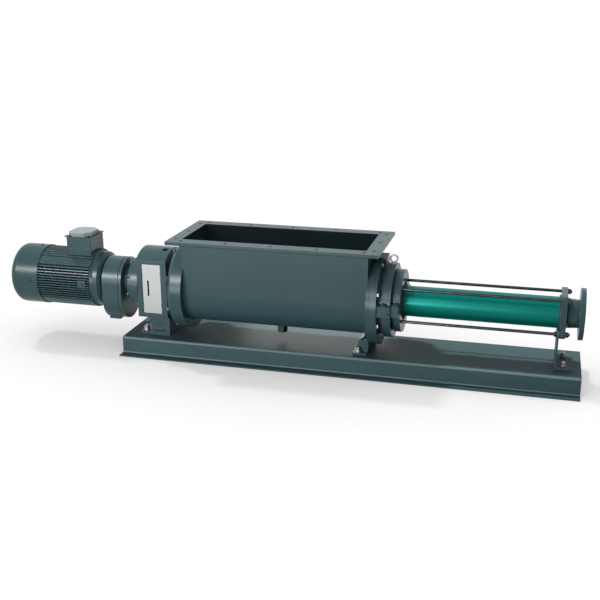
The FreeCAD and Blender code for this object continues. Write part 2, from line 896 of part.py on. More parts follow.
def motor_frame():
    barrel = bar(x_frame, x_drive_shield, motor_barrel_radius)
    pad_end = x_drive_shield - pad_inset
    pad = block((pad_end - pad_length, pad_end), (-motor_radius, motor_radius),
                (axis_height - pad_height / 2, axis_height + pad_height / 2))
    body = barrel.fuse(motor_fins() + [pad.common(bar(x_frame, x_drive_shield, motor_radius))])
    seat = block((box_start(), box_start() + box_length), both_sides(box_width / 2 - 2 * box_wall),
                 (axis_height, box_bottom()))
    body = body.fuse(seat)
    top = block((box_start(), box_start() + box_length), both_sides(box_width / 2), (box_bottom(), box_top))
    bore = bar(x_frame - bite, x_drive_shield + bite, motor_barrel_radius - motor_barrel_wall)
    cable_place = point(box_start() + box_length / 2, 0, axis_height)
    cable = hole_at(frame_cable_hole, cable_place, Z_WAY, box_top - axis_height)
    earth = hole_at(earth_bolt / 2 + thread_fit, earth_place(), Y_WAY, motor_radius)
    return without(body, [bore, top, cable, earth]).removeSplitter()


def earth_place():
    return point(x_drive_shield - pad_inset - pad_length / 2, -motor_radius, axis_height)


def box_start():
    return x_drive_shield - box_end_gap - box_length


def box_bottom():
    return axis_height + motor_radius - box_sink


def fan_cover():
    inner = fan_cover_radius - fan_cover_sheet
    shell = bar(x_fan_end, x_frame, fan_cover_radius)
    end_edge = [edge for edge in shell.Edges if is_ring_at(edge, x_fan_end)]
    shell = shell.makeFillet(fan_cover_corner, end_edge)
    hollow = bar(x_fan_end + fan_cover_sheet, x_frame + bite, inner)
    end_edge = [edge for edge in hollow.Edges if is_ring_at(edge, x_fan_end + fan_cover_sheet)]
    hollow = hollow.makeFillet(fan_cover_corner - fan_cover_sheet, end_edge)
    shell = shell.cut(hollow)
    return without(shell, grille_slots() + fan_screw_holes())


def is_ring_at(edge, x):
    box = edge.BoundBox
    return box.XLength < 0.001 and abs(box.XMin - x) < 0.001


def grille_slots():
    """Rings of air slots in the end of the fan cover, left whole at the spokes."""
    spokes = [rolled(block((x_fan_end - bite, x_fan_end + 3 * fan_cover_sheet), both_sides(grille_spoke / 2),
                           (axis_height, axis_height + fan_cover_radius)), 360.0 * number / grille_spokes)
              for number in range(grille_spokes)]
    slots = []
    for number in range(grille_rings):
        inner = grille_inner + number * grille_pitch
        hoop = ring(x_fan_end - bite / 2, x_fan_end + 2 * fan_cover_sheet, inner + grille_slot, inner)
        slots.append(without(hoop, spokes))
    return slots


def fan_screw_place(number, radius):
    return on_circle(radius, fan_cover_screw_angle + 90.0 * number, x_fan_end + fan_cover_screw_inset)


def outward(place):
    way = point(0, place.y, place.z - axis_height)
    return way.normalize()


def fan_screw_holes():
    places = [fan_screw_place(number, fan_cover_radius - 4 * fan_cover_sheet) for number in range(4)]
    return [hole_at(fan_cover_screw / 2 + thread_fit, place, outward(place), 8 * fan_cover_sheet)
            for place in places]


def fan_cover_screws():
    places = [fan_screw_place(number, fan_cover_radius) for number in range(4)]
    return [socket_screw(fan_cover_screw, 3 * fan_cover_sheet, place, outward(place)) for place in places]


def rear_shield():
    """End shield behind the fan, with four arms that carry the fan cover's screws."""
    start = x_frame - rear_shield_length
    disc = ring(start, x_frame, motor_barrel_radius, motor_bearing_radius)
    hub = ring(start, x_frame + motor_bearing_width + rear_hub_reach, motor_bearing_radius + shield_hub_wall,
               motor_bearing_radius)
    arm_start = x_fan_end + fan_cover_screw_inset - cover_arm_half_width
    low = axis_height + motor_barrel_radius - cover_arm_overlap
    high = axis_height + fan_cover_radius - fan_cover_sheet - 2 * easy_gap
    arm = block((arm_start, x_frame), both_sides(cover_arm_half_width), (low, high))
    foot = block((start, x_frame), both_sides(cover_arm_half_width), (low - cover_arm_foot, low + bite))
    first = fan_cover_screw_angle - 90.0
    arms = [rolled(arm.fuse(foot), first + 90.0 * number) for number in range(4)]
    return without(joined([disc, hub] + arms), fan_screw_holes())


def drive_shield():
    """End shield on the drive side, with a spigot that enters the gearbox."""
    inner = motor_bearing_radius
    nose = x_motor_spigot
    hub_start = nose - drive_hub_length
    outline = [
        (x_drive_shield, drive_shield_radius + shield_edge_rise),
        (x_drive_shield + shield_edge_length, drive_shield_radius),
        (nose - shield_nose_length, drive_shield_radius), (nose, drive_shield_nose_radius),
        (nose, motor_spigot_radius), (x_gear_case, motor_spigot_radius), (x_gear_case, inner),
        (hub_start, inner), (hub_start, inner + shield_hub_wall),
        (nose - drive_shield_wall, inner + shield_hub_wall + shield_hub_flare),
        (x_drive_shield, drive_shield_radius - shield_rim_wall),
    ]
    return turned(outline)


def stator_core():
    start = x_frame + core_inset
    outer = motor_barrel_radius - motor_barrel_wall
    return ring(start, start + stator_core_length, outer, stator_core_bore)


def stator_windings():
    start = x_frame + core_inset
    end = start + stator_core_length
    inner = stator_core_bore + winding_gap
    coils = []
    for low, high, free in ((start - winding_length, start, start - winding_length),
                            (end, end + winding_length, end + winding_length)):
        coil = ring(low, high, inner + winding_depth, inner)
        edges = [edge for edge in coil.Edges if is_ring_at(edge, free)]
        coils.append(coil.makeFillet(winding_round, edges))
    return coils


def rotor_core():
    """Laminated core with a cage ring at each end."""
    start = x_frame + core_inset
    end = start + stator_core_length
    outer = stator_core_bore - air_gap
    seat = motor_shaft_radius + shaft_seat_rise
    return turned([
        (start - cage_ring_length, cage_ring_inner), (start - cage_ring_length, cage_ring_outer),
        (start, cage_ring_outer), (start, outer), (end, outer), (end, cage_ring_outer),
        (end + cage_ring_length, cage_ring_outer), (end + cage_ring_length, cage_ring_inner),
        (end, cage_ring_inner), (end, seat), (start, seat), (start, cage_ring_inner),
    ])


def motor_shaft():
    """Motor shaft, stepped down for the fan at one end and for the pinion at the other."""
    core = x_frame + core_inset
    core_end = core + stator_core_length
    radius = motor_shaft_radius
    fan = x_fan_end + shaft_fan_gap
    fan_radius_here = radius - shaft_fan_drop
    step = x_gear_case + shaft_end_gap
    end = first_stage_start() - 1
    return turned([
        (fan, 0), (fan, fan_radius_here), (x_frame - shaft_fan_seat, fan_radius_here),
        (x_frame - shaft_fan_seat, radius), (core, radius), (core, radius + shaft_seat_rise),
        (core_end, radius + shaft_seat_rise), (core_end, radius), (step, radius),
        (step, shaft_pinion_radius), (end, shaft_pinion_radius), (end, 0),
    ])


def motor_bearings():
    rear = x_frame - rear_bearing_inset
    drive = x_motor_spigot - drive_bearing_inset
    outer = motor_bearing_radius
    inner = motor_shaft_radius + running_fit
    return [ring(rear, rear + motor_bearing_width, outer, inner),
            ring(drive, drive + motor_bearing_width, outer, inner)]


def cooling_fan():
    start = x_fan_end + fan_gap
    end = start + fan_length
    bore = motor_shaft_radius - shaft_fan_drop
    hub = ring(start, end, fan_hub_radius, bore)
    disc = ring(end - fan_disc, end, fan_radius, bore)
    blade = block((start + fan_disc, end - fan_disc / 2), both_sides(fan_blade_sheet / 2),
                  (axis_height + fan_hub_radius - fan_blade_sheet, axis_height + fan_radius - bite))
    return joined([hub, disc] + round_the_axis(blade, fan_blades))


# Terminal box

def terminal_box():
    """Terminal box with two ears on its edge and a raised panel low on its front."""
    start = box_start()
    end = start + box_length
    half = box_width / 2
    z_low = box_bottom()
    ear_z = (box_top - ear_sheet, box_top)
    body = rounded_block((start, end), both_sides(half), (z_low, box_top), box_corner, Z_WAY)
    ear_y = (ear_inset - half, ear_inset - half + ear_width)
    left_ear = block((start - ear_length, start + box_wall), ear_y, ear_z)
    rear_ear = block((end - box_wall - ear_width, end - box_wall), (half - box_wall, half + ear_length), ear_z)
    panel = block((start + box_panel_inset, end - box_panel_inset), (-half - box_panel_rise, box_wall - half),
                  (z_low, z_low + box_panel_height))
    inside = block((start + box_wall, end - box_wall), both_sides(half - box_wall),
                   (z_low + box_wall, box_top + bite))
    cable = hole_at(box_cable_hole, point((start + end) / 2, 0, z_low - bite), Z_WAY, 4 * box_wall)
    cutters = [inside, cable]
    for place in gland_places():
        behind = place - Y_WAY * 2 * box_wall
        cutters.append(hole_at(gland_thread_radius + thread_fit, behind, Y_WAY, 4 * box_wall))
    return without(joined([body, left_ear, rear_ear, panel]), cutters)


def gland_places():
    middle = box_start() + box_length / 2
    z = (box_bottom() + box_top) / 2
    return [point(middle + side * gland_spread / 2, box_width / 2, z) for side in (-1, 1)]


def cable_glands():
    """Blanked cable glands on the rear wall of the terminal box."""
    glands = []
    for place in gland_places():
        nut_part = set_at(hexagon(gland_nut_width, gland_nut_length), place, Y_WAY)
        start = place - Y_WAY * (box_wall + gland_thread_length)
        thread = hole_at(gland_thread_radius, start, Y_WAY, box_wall + gland_thread_length + 1)
        dome = Part.makeCone(gland_nut_width / 2 - gland_dome_step, gland_hole_radius + gland_dome_wall,
                             gland_dome_length, place + Y_WAY * gland_nut_length, Y_WAY)
        hole = hole_at(gland_hole_radius, start - Y_WAY * bite, Y_WAY, 2 * gland_nut_width)
        glands.append(joined([nut_part, thread, dome]).cut(hole))
    return glands


def terminal_lid():
    start = box_start() - lid_overhang
    end = start + lid_length
    front = lid_shift - lid_width / 2
    back = lid_shift + lid_width / 2
    cut = lid_chamfer
    corners = [(start + cut, front), (end - cut, front), (end, front + cut), (end, back - cut),
               (end - cut, back), (start + cut, back), (start, back - cut), (start, front + cut)]
    lid = plate_down(corners, box_top, box_top + lid_height)
    top = [edge for edge in lid.Edges if edge.BoundBox.ZMin > box_top + lid_height - 0.01]
    return lid.makeChamfer(lid_edge, top)


def terminal_block():
    """Moulded block with six studs on the floor of the terminal box."""
    middle = box_start() + box_length / 2
    floor = box_bottom() + box_wall
    seat = floor + block_height
    y_range = (block_middle - block_width / 2, block_middle + block_width / 2)
    pieces = [block((middle - block_length / 2, middle + block_length / 2), y_range, (floor, seat))]
    for column in (-1, 0, 1):
        for row in (-0.5, 0.5):
            place = point(middle + column * block_stud_pitch, block_middle + row * block_stud_row, seat)
            pieces.append(hex_bolt(block_stud, easy_gap, place, Z_WAY))
    return [joined(pieces)]


# Feed hopper

def trough_face(half, x):
    """Face of a U shaped section, round below the axis and straight up to the rim."""
    top = rim_height - rim_thickness
    left, right = point(x, -half, axis_height), point(x, half, axis_height)
    left_top, right_top = point(x, -half, top), point(x, half, top)
    floor = Part.Arc(left, point(x, 0, axis_height - half), right).toShape()
    lines = [Part.makeLine(right, right_top), Part.makeLine(right_top, left_top), Part.makeLine(left_top, left)]
    return Part.Face(Part.Wire([floor] + lines))


def rim_middle():
    return x_trough + trough_length / 2 - rim_shift


def rim_hole_places(z):
    """Places of the rim's holes: two long rows and two short rows."""
    middle = rim_middle()
    long_y = rim_width / 2 - rim_hole_edge
    short_x = rim_length / 2 - rim_hole_edge
    places = []
    for side in (-1, 1):
        for number in range(rim_long_count):
            x = middle + (number - (rim_long_count - 1) / 2) * rim_long_pitch
            places.append(point(x, side * long_y, z))
        for number in range(rim_short_count):
            y = (number - (rim_short_count - 1) / 2) * rim_short_pitch
            places.append(point(middle + side * short_x, y, z))
    return places


def rim():
    middle = rim_middle()
    z_low = rim_height - rim_thickness
    x_range = (middle - rim_length / 2, middle + rim_length / 2)
    frame = block(x_range, both_sides(rim_width / 2), (z_low, rim_height))
    edges = [edge for edge in frame.Edges if abs(edge.BoundBox.ZMax - z_low) < 0.001]
    frame = frame.makeFillet(rim_edge_round, edges)
    inner = trough_half_width - trough_wall
    mouth = block((x_trough, x_outlet_ring - trough_wall), both_sides(inner), (z_low - bite, rim_height + bite))
    holes = [hole_at(rim_hole / 2, place, Z_WAY, 2 * rim_thickness) for place in rim_hole_places(z_low - bite)]
    return without(frame, [mouth] + holes)


def ring_bolt_places(x):
    return [on_circle(ring_bolt_circle / 2, 22.5 + 360.0 * number / ring_bolt_count, x)
            for number in range(ring_bolt_count)]


def trough_bottom():
    return axis_height - trough_half_width


def feed_hopper():
    inner = trough_half_width - trough_wall
    outside = trough_face(trough_half_width, x_trough - trough_wall)
    outside = outside.extrude(X_WAY * (trough_length + trough_wall + bite))
    inside = trough_face(inner, x_trough).extrude(X_WAY * (trough_length - trough_wall))
    mouth = block((x_trough, x_outlet_ring - trough_wall), both_sides(inner),
                  (axis_height, rim_height + bite))
    body = joined([
        outside,
        bar(x_inlet_ring, x_trough, ring_radius),
        bar(x_outlet_ring, x_adaptor, ring_radius),
        Part.makeCylinder(drain_boss_radius, drain_boss_drop + trough_wall / 2,
                          point(drain_plug_x, 0, trough_bottom() - drain_boss_drop)),
    ])
    cutters = [inside, mouth,
               bar(x_inlet_ring - bite, x_trough + bite, inner),
               bar(x_outlet_ring - 2 * trough_wall, x_adaptor + bite, adaptor_bore_in),
               hole_at(drain_plug_thread / 2 + thread_fit,
                       point(drain_plug_x, 0, trough_bottom() - 3 * drain_boss_drop), Z_WAY, 5 * drain_boss_drop)]
    for place in ring_bolt_places(x_inlet_ring - bite):
        cutters.append(hole_at(ring_bolt / 2 + thread_fit, place, X_WAY, inlet_ring_length * 0.7))
    for place in ring_bolt_places(x_outlet_ring - bite):
        cutters.append(hole_at(ring_bolt / 2 + thread_fit, place, X_WAY, 2 * outlet_ring_length))
    return joined([without(body, cutters), rim()])


def drain_plug():
    head = hexagon(drain_plug_thread * hex_width_share, drain_plug_head)
    far = [edge for edge in head.Edges if edge.BoundBox.ZMin > drain_plug_head - 0.01]
    head = head.makeChamfer(drain_plug_chamfer, far)
    thread_length = drain_boss_drop + trough_wall
    thread = Part.makeCylinder(drain_plug_thread / 2, thread_length, point(0, 0, -thread_length))
    return set_at(head.fuse(thread), point(drain_plug_x, 0, trough_bottom() - drain_boss_drop), -Z_WAY)


def support_bolt_places():
    x = x_outlet_ring - support_bolt_inset
    return [point(x, side * support_bolt_side, base_height) for side in (-1, 1)]


def is_support_bolt(place):
    """True for the two ring bolts that also hold the hopper's support."""
    return place.z < axis_height - ring_bolt_circle / 4 and abs(place.y) < support_plate_half_width


def hopper_support():
    """Support on the base, bolted behind the hopper's outlet ring and hollowed round the trough."""
    end = x_outlet_ring
    pad_top = base_height + support_pad
    plate = rounded_block((end - support_plate, end), both_sides(support_plate_half_width),
                          (base_height, support_plate_top), pad_corner, X_WAY)
    pieces = [plate]
    for side in (-1, 1):
        y_range = sorted((side * support_pad_inner, side * support_pad_outer))
        pieces.append(rounded_block((end - support_pad_length, end), y_range, (base_height, pad_top),
                                    pad_corner, Z_WAY))
        pieces.append(leaning_rib(side, pad_top))
    cutters = [bar(end - 2 * support_pad_length, end + bite, trough_half_width)]
    cutters += [hole_at(support_bolt / 2 + bolt_hole_gap, place - Z_WAY * bite, Z_WAY, 2 * support_pad)
                for place in support_bolt_places()]
    cutters += [hole_at(ring_bolt / 2 + bolt_hole_gap, place, X_WAY, 2 * support_plate)
                for place in ring_bolt_places(end - support_plate - bite) if is_support_bolt(place)]
    return without(joined(pieces), cutters)


def leaning_rib(side, pad_top):
    """Leaning rib that stiffens the support's plate on one side."""
    back = x_outlet_ring - bite
    corners = [(back, pad_top - bite), (back, support_rib_top),
               (back + bite - support_plate - support_rib_head_length, support_rib_top),
               (back + bite - support_plate - support_rib_foot_length, pad_top - bite)]
    low = min(side * support_rib_side, side * (support_rib_side - support_rib))
    outline = [point(x, low, z) for x, z in corners]
    rib = Part.Face(Part.makePolygon(outline + outline[:1])).extrude(Y_WAY * support_rib)
    crest = [edge for edge in rib.Edges if is_along(edge, Y_WAY) and edge.BoundBox.ZMin > support_rib_top - 1
             and edge.BoundBox.XMax < back - 1]
    return rib.makeFillet(support_rib_round, crest)


def stud_set(thread, grip, place):
    """Bolt from under the base sheet, with a washer and a nut on top of what it holds."""
    seat = place + Z_WAY * grip
    under = place - Z_WAY * base_sheet
    reach = grip + base_sheet + thread * (washer_height_share + nut_height_share) + stud_end
    return [hex_bolt(thread, reach, under, -Z_WAY), washer(thread, seat, Z_WAY),
            nut(thread, seat + Z_WAY * thread * washer_height_share, Z_WAY)]


def hopper_support_bolts():
    return [piece for place in support_bolt_places() for piece in stud_set(support_bolt, support_pad, place)]


# Seal housing and shaft seal

def seal_housing():
    """Housing that closes the drive end of the hopper and holds the shaft seal."""
    inner = trough_half_width - trough_wall - thread_fit
    seal_bore = seal_bore_radius + seal_wall
    shaft_hole = seal_shaft_radius + seal_play
    seat_end = seal_face_x() - seal_seat_length - seal_wall
    outline = [
        (x_seal_neck, seal_bore), (x_seal_neck, seal_hub_radius), (x_seal_flange, seal_hub_radius),
        (x_seal_flange, ring_radius - ring_bevel), (x_inlet_ring, ring_radius), (x_inlet_ring, inner),
        (x_trough - lantern_wall, inner), (x_trough - lantern_wall, seal_bore), (seat_end, seal_bore),
        (seat_end, shaft_hole), (x_seal_neck + lantern_wall, shaft_hole), (x_seal_neck + lantern_wall, seal_bore),
    ]
    holes = [hole_at(ring_bolt / 2 + bolt_hole_gap, place, X_WAY, 3 * seal_flange_length)
             for place in ring_bolt_places(x_seal_flange - bite)]
    return without(turned(outline), holes)


def seal_housing_bolts():
    reach = seal_flange_length + inlet_ring_length * 0.6
    return [hex_bolt(ring_bolt, reach, place, -X_WAY) for place in ring_bolt_places(x_seal_flange)]


def seal_face_x():
    return x_trough - seal_ring_length


def seal_seat():
    """Fixed seat ring of the shaft seal."""
    face = seal_face_x()
    return ring(face - seal_seat_length - seal_wall, face - seal_face_gap / 2, seal_bore_radius + seal_wall,
                seal_shaft_radius + bite)


def seal_ring():
    """Turning ring of the shaft seal, tight on the shaft."""
    face = seal_face_x()
    return ring(face + seal_face_gap / 2, face + seal_ring_length, seal_ring_radius, seal_shaft_radius)


# Shaft line

def joint_drive_x():
    return x_trough + head_start_gap + head_length - joint_inset


def joint_rotor_x():
    return lining_left() - rotor_neck_length - rotor_head_length + joint_inset


def output_shaft_end():
    return x_seal_neck - 2 * lantern_wall


def coupling_pin_hole():
    start = point(coupling_pin_x(), 0, axis_height - 2 * head_radius)
    return hole_at(coupling_pin_radius, start, Z_WAY, 4 * head_radius)


def gear_output_shaft():
    shaft = bar(second_stage_start() - 1, output_shaft_end(), output_shaft_radius)
    return shaft.cut(coupling_pin_hole())


def coupling_pin_x():
    return x_lantern + lantern_length * 0.35


def drive_shaft():
    """Pump shaft: a sleeve on the gearbox shaft, a seal journal and the head of the drive joint."""
    sleeve_start = x_lantern + sleeve_gap
    sleeve_end = x_seal_neck - sleeve_end_gap
    sleeve_bore = output_shaft_radius + running_fit
    bore_end = output_shaft_end() + 1
    head_start = x_trough + head_start_gap
    head_end = head_start + head_length
    socket_end = head_end - 2 * joint_inset
    outline = [
        (sleeve_start, sleeve_bore), (sleeve_start, drive_sleeve_radius), (sleeve_end, drive_sleeve_radius),
        (sleeve_end, seal_shaft_radius), (head_start, seal_shaft_radius), (head_start, head_radius),
        (head_end, head_radius), (head_end, socket_radius), (socket_end, socket_radius),
        (socket_end - socket_cone, 0), (bore_end, 0), (bore_end, sleeve_bore),
    ]
    cross = point(joint_drive_x(), -2 * head_radius, axis_height)
    pin_hole = hole_at(joint_pin_radius, cross, Y_WAY, 4 * head_radius)
    return without(turned(outline), [pin_hole, coupling_pin_hole()])


def coupling_pin():
    half = drive_sleeve_radius
    return hole_at(coupling_pin_radius, point(coupling_pin_x(), 0, axis_height - half), Z_WAY, 2 * half)


def slinger_ring():
    """Thrower ring that keeps leaked liquid off the gearbox."""
    start = x_seal_neck - slinger_gap
    return ring(start, start + slinger_width, slinger_radius, drive_sleeve_radius)


def drive_joint_pin():
    centre = point(joint_drive_x(), 0, axis_height)
    half = head_radius - pin_end_gap
    return hole_at(joint_pin_radius, centre - Y_WAY * half, Y_WAY, 2 * half)


def drive_joint_boot():
    """Rubber boot on the drive joint's head."""
    return joint_boot(x_trough + head_start_gap + head_length, 1, head_radius, 0.0)


def joint_boot(face_x, way, radius, rise):
    """Boot on a joint head whose open face is at face_x, closing towards the rod along way."""
    over = -way * boot_length / 2
    lip = way * boot_length / 2
    outer = radius + boot_wall
    outline = [
        (face_x + over, radius), (face_x + over, outer), (face_x + way * boot_gap, outer),
        (face_x + lip, rod_radius + boot_wall + boot_gap), (face_x + lip, rod_radius + boot_gap),
        (face_x + way * boot_gap, radius - boot_wall), (face_x, radius - boot_wall), (face_x, radius),
    ]
    return turned(outline, 0.0, axis_height + rise)


def tilted(shape):
    """Copy of a rod piece, laid from the drive joint to the offset centre of the rotor joint."""
    angle = math.degrees(math.atan2(eccentricity, joint_rotor_x() - joint_drive_x()))
    copy = shape.copy()
    copy.rotate(point(joint_drive_x(), 0, axis_height), Y_WAY, -angle)
    return copy


def rod_length():
    return math.hypot(joint_rotor_x() - joint_drive_x(), eccentricity)


def coupling_rod():
    """Rod between the two pin joints, with barrel shaped ends."""
    start = joint_drive_x()
    end = start + rod_length()
    swell = rod_end_radius
    slim = swell - rod_end_drop
    outline = [
        (start - rod_end_half, 0), (start - rod_end_half, slim), (start - rod_end_flat, swell),
        (start + rod_end_flat, swell), (start + rod_end_half, slim), (start + rod_neck, rod_radius),
        (end - rod_neck, rod_radius), (end - rod_end_half, slim), (end - rod_end_flat, swell),
        (end + rod_end_flat, swell), (end + rod_end_half, slim), (end + rod_end_half, 0),
    ]
    pins = [hole_at(joint_pin_radius + joint_pin_play, point(x, -2 * swell, axis_height), Y_WAY, 4 * swell)
            for x in (start, end)]
    return tilted(without(turned(outline), pins))


def feed_screw():
    """Tube on the rod that carries one right handed screw flight."""
    start = joint_drive_x() + screw_inset
    length = joint_rotor_x() - joint_drive_x() - screw_inset - screw_end_gap
    tube_bore = rod_radius + running_fit
    tube = ring(start - screw_lead_in, start + length + screw_lead_in, screw_tube_radius, tube_bore)
    middle = (screw_tube_radius + screw_radius) / 2
    spine = Part.makeHelix(length / screw_turns, length, middle)
    low, high = screw_tube_radius - 2 * screw_bite, screw_radius
    corners = [point(low, 0, -screw_flight / 2), point(high, 0, -screw_flight / 2),
               point(high, 0, screw_flight / 2), point(low, 0, screw_flight / 2)]
    section = Part.makePolygon(corners + corners[:1])
    pipe = Part.BRepOffsetAPI.MakePipeShell(Part.Wire(spine.Edges))
    pipe.setBiNormalMode(Z_WAY)
    pipe.add(section)
    pipe.build()
    pipe.makeSolid()
    flight = set_at(pipe.shape(), point(start, 0, axis_height), X_WAY)
    return tilted(tube.fuse(flight))


# Rotor and stator

def twisted(section, start, end, pitch):
    """Solid along X whose flat section turns once in each pitch, right handed."""
    line = Part.Wire(Part.makeLine(point(start, 0, axis_height), point(end, 0, axis_height)))
    helix = set_at(Part.makeHelix(pitch, end - start, rotor_diameter), point(start, 0, axis_height), X_WAY)
    sweep = Part.BRepOffsetAPI.MakePipeShell(line)
    sweep.setAuxiliarySpine(Part.Wire(helix.Edges), True, 0)
    sweep.add(section)
    sweep.build()
    sweep.makeSolid()
    return sweep.shape()


def rotor_angle(x):
    """Direction of the rotor's section from the rotor's own axis, from Y towards Z."""
    return 90.0 + 360.0 * (x - x_stator_tube) / rotor_pitch


def rotor_section(x):
    turn = math.radians(rotor_angle(x))
    centre = point(x, eccentricity * math.cos(turn), axis_height + eccentricity * math.sin(turn))
    return Part.Wire(Part.Circle(centre, X_WAY, rotor_diameter / 2).toShape())


def slot_section(x):
    """Outline of the lining's cavity: a slot with round ends, upright where the tube starts."""
    reach = 2 * eccentricity
    radius = rotor_diameter / 2 + rotor_gap
    ends = [point(x, reach, axis_height + radius), point(x, reach + radius, axis_height),
            point(x, reach, axis_height - radius), point(x, -reach, axis_height - radius),
            point(x, -reach - radius, axis_height), point(x, -reach, axis_height + radius)]
    wire = Part.Wire([
        Part.makeLine(ends[5], ends[0]), Part.Arc(ends[0], ends[1], ends[2]).toShape(),
        Part.makeLine(ends[2], ends[3]), Part.Arc(ends[3], ends[4], ends[5]).toShape(),
    ])
    wire.rotate(point(x, 0, axis_height), X_WAY, 90.0 + 180.0 * (x - x_stator_tube) / rotor_pitch)
    return wire


def stator_tube():
    return ring(x_stator_tube, x_end_collar, stator_tube_radius, stator_tube_radius - stator_tube_wall)


def lining_left():
    return x_collar - collar_seat_depth


def stator_lining():
    """Moulded rubber lining with its twisted cavity and a sealing collar at each end."""
    inner = stator_tube_radius - stator_tube_wall
    right = x_end_collar + end_collar_length - 2
    body = joined([
        bar(x_stator_tube, x_end_collar, inner),
        bar(lining_left(), x_stator_tube, lining_collar_radius),
        bar(x_end_collar, right, stator_tube_radius),
    ])
    start = lining_left() - bite
    return body.cut(twisted(slot_section(start), start, right + bite, 2 * rotor_pitch))


def rotor():
    start = lining_left() - rotor_neck_length / 2
    helix = twisted(rotor_section(start), start, x_end_collar + end_collar_length, rotor_pitch)
    helix.translate(point(0, 0, eccentricity))
    rise = axis_height + eccentricity
    head_start = joint_rotor_x() - joint_inset
    head_end = head_start + rotor_head_length
    shoulder = head_end + rotor_shoulder
    socket_end = joint_rotor_x() + joint_inset
    head = turned([
        (head_start, rotor_head_radius), (head_end, rotor_head_radius),
        (shoulder, rotor_diameter / 2 - rotor_shoulder_drop), (shoulder, 0), (socket_end + socket_cone, 0),
        (socket_end, socket_radius), (head_start, socket_radius)], 0.0, rise)
    cross = point(joint_rotor_x(), -2 * head_radius, rise)
    return without(head.fuse(helix), [hole_at(joint_pin_radius, cross, Y_WAY, 4 * head_radius)])


def rotor_joint_pin():
    half = rotor_head_radius - pin_end_gap
    centre = point(joint_rotor_x(), -half, axis_height + eccentricity)
    return hole_at(joint_pin_radius, centre, Y_WAY, 2 * half)


def rotor_joint_sleeve():
    """Round sleeve over the rotor joint, carried round with the rotor's centre."""
    face = joint_rotor_x() - joint_inset
    return joint_boot(face, -1, rotor_head_radius + easy_gap, eccentricity)


# Adaptor, tie rods and discharge

def tie_rod_places(x):
    return [point(x, y * tie_rod_offset, axis_height + z * tie_rod_offset) for y in (-1, 1) for z in (-1, 1)]


def side_lugs():
    """Square lugs on both sides that carry the clamping bolts."""
    root = adaptor_groove_radius - side_lug_root
    middle = x_adaptor_groove + bite
    z_range = (axis_height - side_lug_half_height, axis_height + side_lug_half_height)
    lugs = []
    for side in (-1, 1):
        for low, high, reach in ((x_adaptor_step - bite, middle, side_lug_reach),
                                 (middle, x_collar, side_lug_short_reach)):
            y_range = sorted((side * reach, side * root))
            lugs.append(block((low, high), y_range, z_range))
    return lugs


def stator_adaptor():
    outline = [
        (x_adaptor, adaptor_bore_in), (x_adaptor, ring_radius), (x_adaptor_step, ring_radius),
        (x_adaptor_step, adaptor_barrel_radius), (x_adaptor_disc, adaptor_barrel_radius),
        (x_adaptor_disc, adaptor_disc_radius), (x_adaptor_groove, adaptor_disc_radius),
        (x_adaptor_groove, adaptor_groove_radius), (x_tie_ring, adaptor_groove_radius),
        (x_tie_ring, tie_ring_radius), (x_collar, tie_ring_radius), (x_collar, tie_ring_recess_radius),
        (x_collar - collar_seat_depth, tie_ring_recess_radius), (x_collar - collar_seat_depth, adaptor_bore_out),
    ]
    body = turned(outline)
    top = block((x_adaptor + 3, x_adaptor_disc + 1), both_sides(top_lug_half_width),
                (axis_height + adaptor_barrel_radius - 5, axis_height + ring_radius + top_lug_rise))
    body = joined([body, top] + side_lugs())
    cutters = [hole_at(tie_rod / 2 + thread_fit, place, X_WAY, tie_ring_length)
               for place in tie_rod_places(x_tie_ring + 4)]
    cutters += [hole_at(ring_bolt / 2 + bolt_hole_gap, place, X_WAY, 2 * adaptor_flange_length)
                for place in ring_bolt_places(x_adaptor - bite)]
    cutters += [hole_at(lug_bolt / 2 + thread_fit, place + Z_WAY * bite, -Z_WAY, side_lug_half_height * 1.5 + bite)
                for place in lug_bolt_places()]
    eye_seat = axis_height + adaptor_disc_radius
    cutters.append(hole_at(eye_thread / 2 + thread_fit, point(eye_x(), 0, eye_seat - eye_shank - 1), Z_WAY,
                           2 * eye_shank))
    for side in (-1, 1):
        y_range = sorted((side * (side_lug_reach - side_lug_slot_depth), side * (side_lug_reach + bite)))
        low = axis_height - side_lug_slot_drop
        cutters.append(block((eye_x(), eye_x() + side_lug_slot_length), y_range, (low, low + side_lug_slot_height)))
    flat = block((eye_x() - eye_collar_radius, eye_x() + eye_collar_radius), both_sides(eye_collar_radius),
                 (eye_seat - eye_flat, eye_seat + bite))
    return without(body, cutters + [flat])


def eye_x():
    return x_adaptor_disc + adaptor_disc_length * eye_place


def lug_bolt_places():
    """Seats of the clamping bolts on top of the side lugs."""
    z = axis_height + side_lug_half_height
    places = []
    for side in (-1, 1):
        places.append(point((x_adaptor_step + x_adaptor_groove) / 2, side * (side_lug_reach - lug_bolt_edge), z))
        places.append(point((x_adaptor_groove + x_collar) / 2 + 2, side * (side_lug_short_reach - lug_bolt_edge), z))
    return places


def lug_bolts():
    return [hex_bolt(lug_bolt, side_lug_half_height * 1.5 - bite, place, Z_WAY) for place in lug_bolt_places()]


def adaptor_bolts():
    grip = adaptor_flange_length + outlet_ring_length
    pieces = []
    for place in ring_bolt_places(x_adaptor_step):
        if is_support_bolt(place):
            held = grip + support_plate
            pieces.append(hex_bolt(ring_bolt, held + ring_bolt * nut_height_share + stud_end, place, X_WAY))
            pieces.append(nut(ring_bolt, place - X_WAY * held, -X_WAY))
        else:
            pieces.append(hex_bolt(ring_bolt, grip - bite, place, X_WAY))
    return pieces


